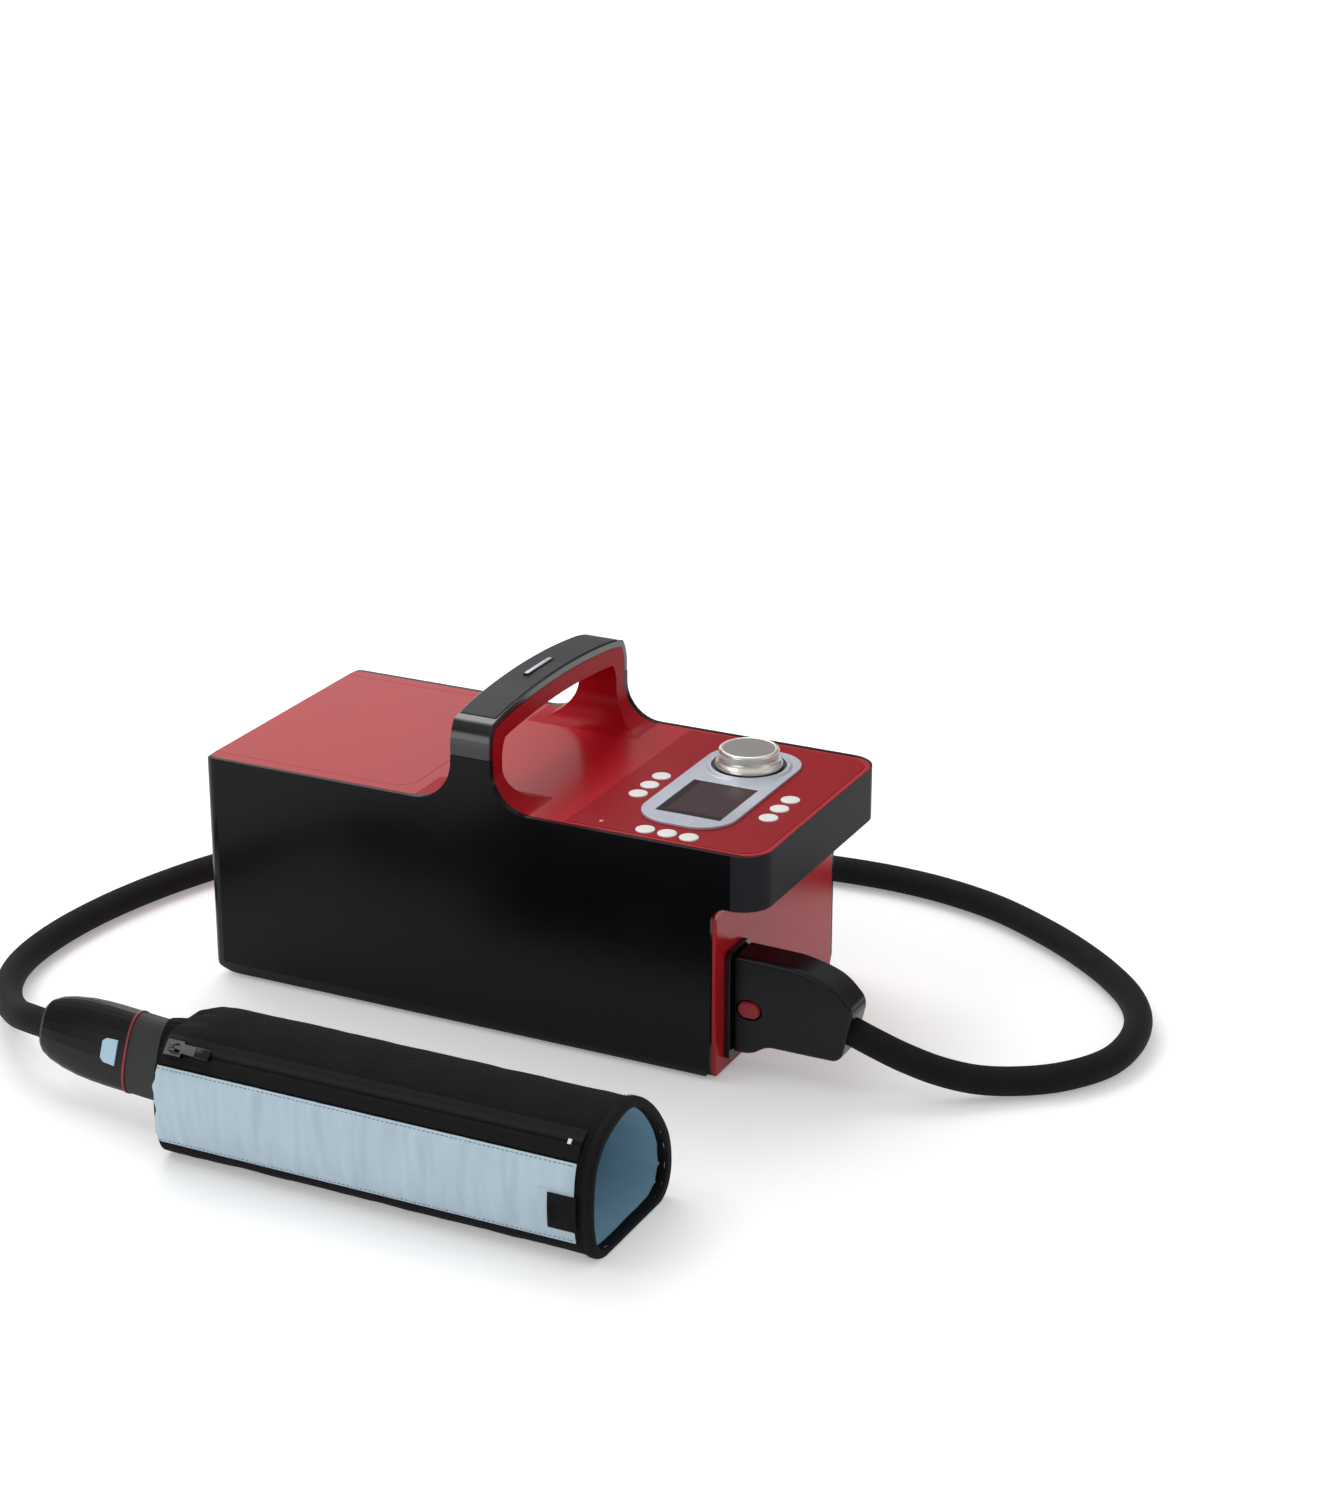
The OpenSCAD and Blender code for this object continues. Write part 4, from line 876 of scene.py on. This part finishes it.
def panel_lift(x, s):
    edge = min(1, (s - PANEL_S[0]) / 0.25, (PANEL_S[1] - s) / 0.25,
               (x - PANEL_X[0]) / 7, (PANEL_X[1] - x) / 5)
    broad = noise.noise(Vector((x / 10, s * 0.5, 7)))
    upright = broad + 0.7 * noise.noise(Vector((x / 5 + 0.4 * s, s * 0.7, 9)))
    calm = max(0.2, min(1, (CALM_X - x) / 8)) if s < CALM_S else 1
    return max(0.6, 0.65 + max(0, edge) * calm * (1.1 + 1.9 * upright))


def panel_x(x, s):
    ragged = 2.0 + 0.9 * math.sin(s * 5.1 + 1) + 0.4 * math.sin(s * 13)
    return x + ragged * max(0, 1 - (x - PANEL_X[0]) / 12)


lining_x = spread(OPEN_X, WRAP_END, 4)
lining_rows = [[in_wrap(x, s, lining_lift(x, s)) for s in around] for x in lining_x]
wrap_lining = grid_piece("wrap_inner_lining", lining_rows, cloth_uvs(lining_x, around),
                         shaded_lining_blue, close_around=True)
sew(wrap_lining, "wrap_lining", 0.0004)

panel_s, panel_along = spread(*PANEL_S, 0.05), spread(*PANEL_X, 1.4)
panel_rows = [[on_wrap(panel_x(x, s), s, panel_lift(x, s)) for s in panel_s] for x in panel_along]
wrap_panel = grid_piece("wrap_front_panel", panel_rows, cloth_uvs(panel_along, panel_s),
                        nylon_blue)
sew(wrap_panel, "wrap_panel", 0.0006)
print("lining faces", len(wrap_lining.data.polygons), "panel", len(wrap_panel.data.polygons))

# %% [markdown]
# The zipper is a coil zipper with its teeth turned in: from outside it is two folded tapes that
# meet in a fine slit, with the sewn edge of each tape beside it. The rim is bound with a ribbed
# tape that is folded over the cloth, so its section is a rounded channel swept round the opening,
# and a small tab of the same tape is sewn over the panel's corner.

# %% Zipper tapes, rim binding and tab
ZIPPER_X, ZIPPER_S = (-84, 203), (4.08, 5.12)
TAB_X, TAB_S, TAB_DENT = (186.5, 205), (1.95, 2.95), (189.5, 193.5)
BINDING_W, BINDING_T = 5.5, 1.3
BINDING_OUT = [(-BINDING_W, 0.35), (0.3 - BINDING_W, 0.9), (-3.4, BINDING_T),
               (-0.8, BINDING_T - 0.1), (0.9, 0.5)]
BINDING_IN = [(0.9, -0.8), (-0.8, -1.7), (-4.5, -1.8), (-5, -1.4)]


def ribbon(name, along_x, s_range, profile, finish, steps):
    width = s_range[1] - s_range[0]
    shares = spread(*s_range, width / steps)
    rows = [[on_wrap(x, s, profile(x, (s - s_range[0]) / width)) for s in shares]
            for x in along_x]
    return grid_piece(name, rows, cloth_uvs(along_x, shares), finish)


def tape_profile(x, t):
    fold = max(0.0, 1 - ((t - 0.5) / 0.24) ** 2)
    slit = max(0.0, 1 - ((t - 0.5) / 0.05) ** 2)
    return 0.5 + 1.0 * fold - 0.9 * slit


def tab_profile(x, t):
    return 1.9 - 0.9 * (TAB_DENT[0] < x < TAB_DENT[1] and 0.22 < t < 0.78)


def binding_ring(s):
    out_at, in_at, off = section(WRAP_OUT, s), thinned(WRAP_END, s), outward(s)
    ring = [(x, out_at + off * k) for x, k in BINDING_OUT]
    ring += [(1.5, out_at - off * 1.2), (1.5, in_at)]
    ring += [(x, in_at + off * k) for x, k in BINDING_IN]
    ring += [(-5, (in_at + out_at) / 2)]
    return [Vector((WRAP_END + x, q.x, max(0.05, q.y))) * MM for x, q in ring]


zipper_tape = ribbon("zipper_tapes", spread(*ZIPPER_X, 4), ZIPPER_S, tape_profile, nylon_black,
                     40)
sew(zipper_tape, "zipper_tape", 0.0005)
rim_rows = [binding_ring(s) for s in around]
rim_uvs = [[(s / CORNERS * GIRTH, k * 0.0025) for k in range(len(rim_rows[0]))] for s in around]
wrap_binding = grid_piece("rim_binding", rim_rows, rim_uvs, tape_black, close_rows=True,
                          close_around=True)
smooth(wrap_binding, 50)
seat(wrap_binding, "wrap_binding")
wrap_tab = ribbon("rim_tab", spread(*TAB_X, 1.5), TAB_S, tab_profile, tape_black, 14)
sew(wrap_tab, "wrap_tab", 0.0010, 40)
print("binding faces", len(wrap_binding.data.polygons), "tapes", len(zipper_tape.data.polygons))

# %% [markdown]
# Sewing shows as rows of short thread stitches. One stitch is a tiny six-sided spindle of a few
# faces, and a row of them is joined into one piece. The spindle's rings below are given by their
# place along the stitch and their radius in threads.

# %% Stitches
STITCH_L, STITCH_PITCH, STITCH_SIDES = 0.0021, 0.0031, 6
SPINDLE = ((-0.5, 0.15), (-0.35, 0.8), (0, 1.1), (0.35, 0.8), (0.5, 0.15))
WRAP_MID = (-0.290, 0.040)


def stitch_row(name, path, node, finish, thread):
    line = even_line(path, STITCH_PITCH)
    turns = [2 * math.pi * k / STITCH_SIDES for k in range(STITCH_SIDES)]
    points, faces = [], []
    for a, b in zip(line, line[1:]):
        ahead, mid = (b - a).normalized(), (a + b) / 2
        up = (mid - Vector((mid.x, *WRAP_MID))).normalized()
        side = ahead.cross(up).normalized()
        start = len(points)
        for share, r in SPINDLE:
            ring_at = mid + ahead * STITCH_L * share
            points += [ring_at + r * thread * (math.cos(t) * side + math.sin(t) * up)
                       for t in turns]
        for ring in range(start, start + 4 * STITCH_SIDES, STITCH_SIDES):
            for k in range(STITCH_SIDES):
                i, j = ring + k, ring + (k + 1) % STITCH_SIDES
                faces.append((i, j, j + STITCH_SIDES, i + STITCH_SIDES))
        for ring in (start, start + 4 * STITCH_SIDES):
            faces.append(tuple(range(ring, ring + STITCH_SIDES)))
    piece = mesh_piece(name, points, faces)
    facing_out(piece)
    dress(piece, finish)
    smooth(piece, 60)
    seat(piece, node, replace=False)
    print(name, len(line) - 1)


for row, s in (("upper", PANEL_S[1] - 0.09), ("lower", PANEL_S[0] + 0.09)):
    seam = [on_wrap(x, s, panel_lift(x, s) + 0.35) for x in spread(-84, 201, 1.5)]
    stitch_row(f"panel_{row}_stitches", seam, "wrap_panel", thread_grey, 0.00022)
rim_seam = [on_wrap(WRAP_END - BINDING_W, s, BINDING_T + 0.05) for s in spread(0.6, 12.2, 0.1)]
stitch_row("rim_stitches", rim_seam, "wrap_binding", nylon_black, 0.00018)

# %% [markdown]
# The controls are what a hand looks for first. The keys are low white caps with rounded rims, and
# the knob is a turned metal cup: a dull flat top in a bright rim, a waist, and a flared foot that
# stands in a thin dark ring, which is painted shade under the foot. Turned pieces are swept round
# their own middle from a closed profile of radii and heights: one point is extruded along the
# profile, and the outline is then spun.

# %% Keys, display and knob
KNOB_PROFILE = [(3.05, 0.6), (3.05, 5.4), (17, 5.4), (17, 0.2), (22.3, 0), (22.8, 0.6),
                (22.8, 1.8), (22.4, 2.7), (21.2, 3.8), (20.2, 4.8), (19.8, 6.0), (19.8, 8.6),
                (20.2, 9.6), (20.4, 10.6), (20.1, 11.6), (19.4, 12.3), (18.6, 12.5),
                (17.9, 12.4), (17.5, 12.1), (1.0, 12.1), (1.0, 7.0), (3.05, 6.4)]
CAP_PROFILE = [(0.2, 12.0), (17.3, 12.0), (17.3, 12.25), (0.2, 12.32)]
SHADOW_RING_PROFILE = [(8, 162.9), (25.2, 162.9), (25.2, 163.25), (8, 163.25)]


def turned(name, profile, at, finish):
    piece = added(name, bpy.ops.mesh.primitive_plane_add, size=0.001)
    edit_all(piece)
    bpy.ops.mesh.merge(type="CENTER")
    start = Vector((at[0] + profile[0][0], at[1], at[2] + profile[0][1]))
    bpy.ops.transform.translate(value=start * MM)
    for (r0, z0), (r1, z1) in zip(profile, profile[1:] + profile[:1]):
        step = Vector((r1 - r0, 0, z1 - z0)) * MM
        bpy.ops.mesh.extrude_region_move(TRANSFORM_OT_translate={"value": step})
    bpy.ops.mesh.select_all(action="SELECT")
    bpy.ops.mesh.remove_doubles(threshold=0.000001)
    bpy.ops.mesh.spin(steps=96, angle=2 * math.pi, center=Vector(at) * MM, axis=(0, 0, 1))
    bpy.ops.mesh.select_all(action="SELECT")
    bpy.ops.mesh.remove_doubles(threshold=0.000001)
    facing_out(piece)
    dress(piece, finish)
    smooth(piece, 30)
    return piece


for i in range(1, 10):
    soften(f"button_{i}", 0.0009, key_white, segments=3)
soften("status_led", 0.0004, led_lens)
soften("lcd_window", 0.0002, smoked_window)
knob = turned("turned_knob", KNOB_PROFILE, KNOB_AT, knob_metal)
seat(knob, "control_knob")
cap = turned("knob_cap", CAP_PROFILE, KNOB_AT, cap_metal)
seat(cap, "control_knob", replace=False)
# The thin dark ring under the knob's foot is painted shade, where the foot stands over the bezel.
shadow_ring = turned("knob_shadow_ring", SHADOW_RING_PROFILE, (*KNOB_AT[:2], 0), dark_rubber)
seat(shadow_ring, "display_bezel", replace=False)
print("knob top", round(max(v.co.z for v in knob.data.vertices), 4))

# %% [markdown]
# The rubber grip on the handle carries one small raised bar, a box with rounded edges.

# %% Bar on the grip
bar = block("grip_bar", (0.001, -0.004, 0.2282), (0.0030, 0.034, 0.0012))
modify(bar, "BEVEL", width=0.0004, segments=3)
# The bar takes the bezel's pale paint as a painted highlight: the light that the raised bar
# catches on the dark grip.
dress(bar, bezel_paint)
smooth(bar, 40)
seat(bar, "handle_grip", replace=False)
print("bar faces", len(bar.data.polygons))

# %% [markdown]
# The plug on the unit is one smooth moulding with a blunt sloping nose. Its outline starts as an
# eight-sided face whose corners are rounded, the upper slope more than the rest; the face is
# extruded to the plug's thickness, its rims get a broad round, and an oval well is cut for the
# button. Each corner round below names its first corner, the corner after its last, and a radius.

# %% Plug on the unit
PLUG_AT, PLUG_T = (178.5, -63), 26
PLUG_OUTLINE = [(0, 13.5), (0, 82.5), (51, 81.5), (71, 72.5), (84, 59), (75, 21.5), (24, 21.5),
                (13, 14.5)]
CORNER_ROUNDS = ((3, 6, 0.006), (2, 3, 0.016), (0, 2, 0.003), (6, 8, 0.004))
RIM_ROUND, WELL_HALF, WELL_AT = 0.0045, (0.0093, 0.0072), (0.190, -0.078, 0.046)

plug = added("hose_plug_body", bpy.ops.mesh.primitive_circle_add, vertices=len(PLUG_OUTLINE),
             radius=0.04, fill_type="NGON")
outline = [Vector((PLUG_AT[0] + x, PLUG_AT[1] + PLUG_T / 2, z)) * MM for x, z in PLUG_OUTLINE]
for v, corner in zip(plug.data.vertices, outline):
    v.co = corner
for first, last, radius in CORNER_ROUNDS:
    edit_all(plug)
    bpy.ops.mesh.select_all(action="DESELECT")
    bpy.ops.object.mode_set(mode="OBJECT")
    for v in plug.data.vertices:
        v.select = any((v.co - corner).length < 0.0001 for corner in outline[first:last])
    bpy.ops.object.mode_set(mode="EDIT")
    bpy.ops.mesh.select_mode(type="VERT")
    bpy.ops.mesh.bevel(affect="VERTICES", offset=radius, offset_type="OFFSET", segments=7,
                       clamp_overlap=True)
edit_all(plug)
bpy.ops.mesh.remove_doubles(threshold=0.00001)
bpy.ops.mesh.extrude_region_move(TRANSFORM_OT_translate={"value": (0, -PLUG_T * MM, 0)})
facing_out(plug)
modify(plug, "BEVEL", width=RIM_ROUND, segments=6, limit_method="ANGLE",
       angle_limit=math.radians(60))
well = added("button_well", bpy.ops.mesh.primitive_cylinder_add, vertices=48, radius=1,
             depth=0.02, rotation=(math.pi / 2, 0, 0))
well.scale = (*WELL_HALF, 1)
settle(well)
well.location = WELL_AT
settle(well)
modify(plug, "BOOLEAN", object=well, operation="DIFFERENCE", solver="EXACT")
bpy.data.objects.remove(well)
dress(plug, plug_black)
smooth(plug, 42)
calm_flats(plug)
seat(plug, "plug_shell_front", "plug_shell_back")
print("plug faces", len(plug.data.polygons))

# %% [markdown]
# The zipper's slider keeps its CAD form with softened edges. Its pull ends in a dark moulded grip,
# and a small pale stop closes the row of teeth near the rim. Both are placed by the same rule as
# the CAD pieces: on the tape's middle line, with their own up pointing off the cloth.

# %% Slider, pull grip and stop
ZIP_S, TAPE_T, SLIDER_X, STOP_X = 4.625, 0.8, -74, 195.5
PULL_Z, PULL_REST = 6.6, math.radians(10)
GRIP_LOW, GRIP_HIGH = (15.5, -3.6, -1.3), (25.5, 3.6, 1.3)
STOP_LOW, STOP_HIGH = (-1.2, -1.6, 0.7), (1.2, 1.6, 1.55)


def zip_block(name, x, low, high, finish, width, tilt=0.0, rise=0.0):
    middle = [(b + a) / 2 * MM for a, b in zip(low, high)]
    piece = block(name, middle, [(b - a) * MM for a, b in zip(low, high)])
    piece.location = (0, 0, rise * MM)
    piece.rotation_euler = (0, tilt, 0)
    settle(piece)
    off = outward(ZIP_S)
    tape = section(WRAP_OUT, ZIP_S).lerp(neck(ZIP_S, NECK_WALL), gathered(x, ZIP_S))
    tape += TAPE_T * off
    piece.location = Vector((x, *tape)) * MM
    piece.rotation_euler = (math.atan2(-off.x, off.y), 0, 0)
    settle(piece)
    modify(piece, "BEVEL", width=width, segments=3)
    dress(piece, finish)
    smooth(piece, 40)
    return piece


soften("zipper_slider", 0.0005, gunmetal)
soften("zipper_pull", 0.0003, gunmetal)
grip = zip_block("pull_grip", SLIDER_X, GRIP_LOW, GRIP_HIGH, plug_black, 0.001, PULL_REST, PULL_Z)
seat(grip, "zipper_pull", replace=False)
stop = zip_block("zipper_stop", STOP_X, STOP_LOW, STOP_HIGH, key_white, 0.0003)
seat(stop, "zipper_tape", replace=False)
print("grip faces", len(grip.data.polygons), "stop faces", len(stop.data.polygons))

# %% [markdown]
# Cloth is cut flat before it is sewn. The wrap's cloth is one piece, rolled and sewn along its
# underside, and its lining is a little smaller, as it lies inside. The pale panel is laid on top.

print("sheets", wrap_sleeve.name, wrap_lining.name, wrap_panel.name)
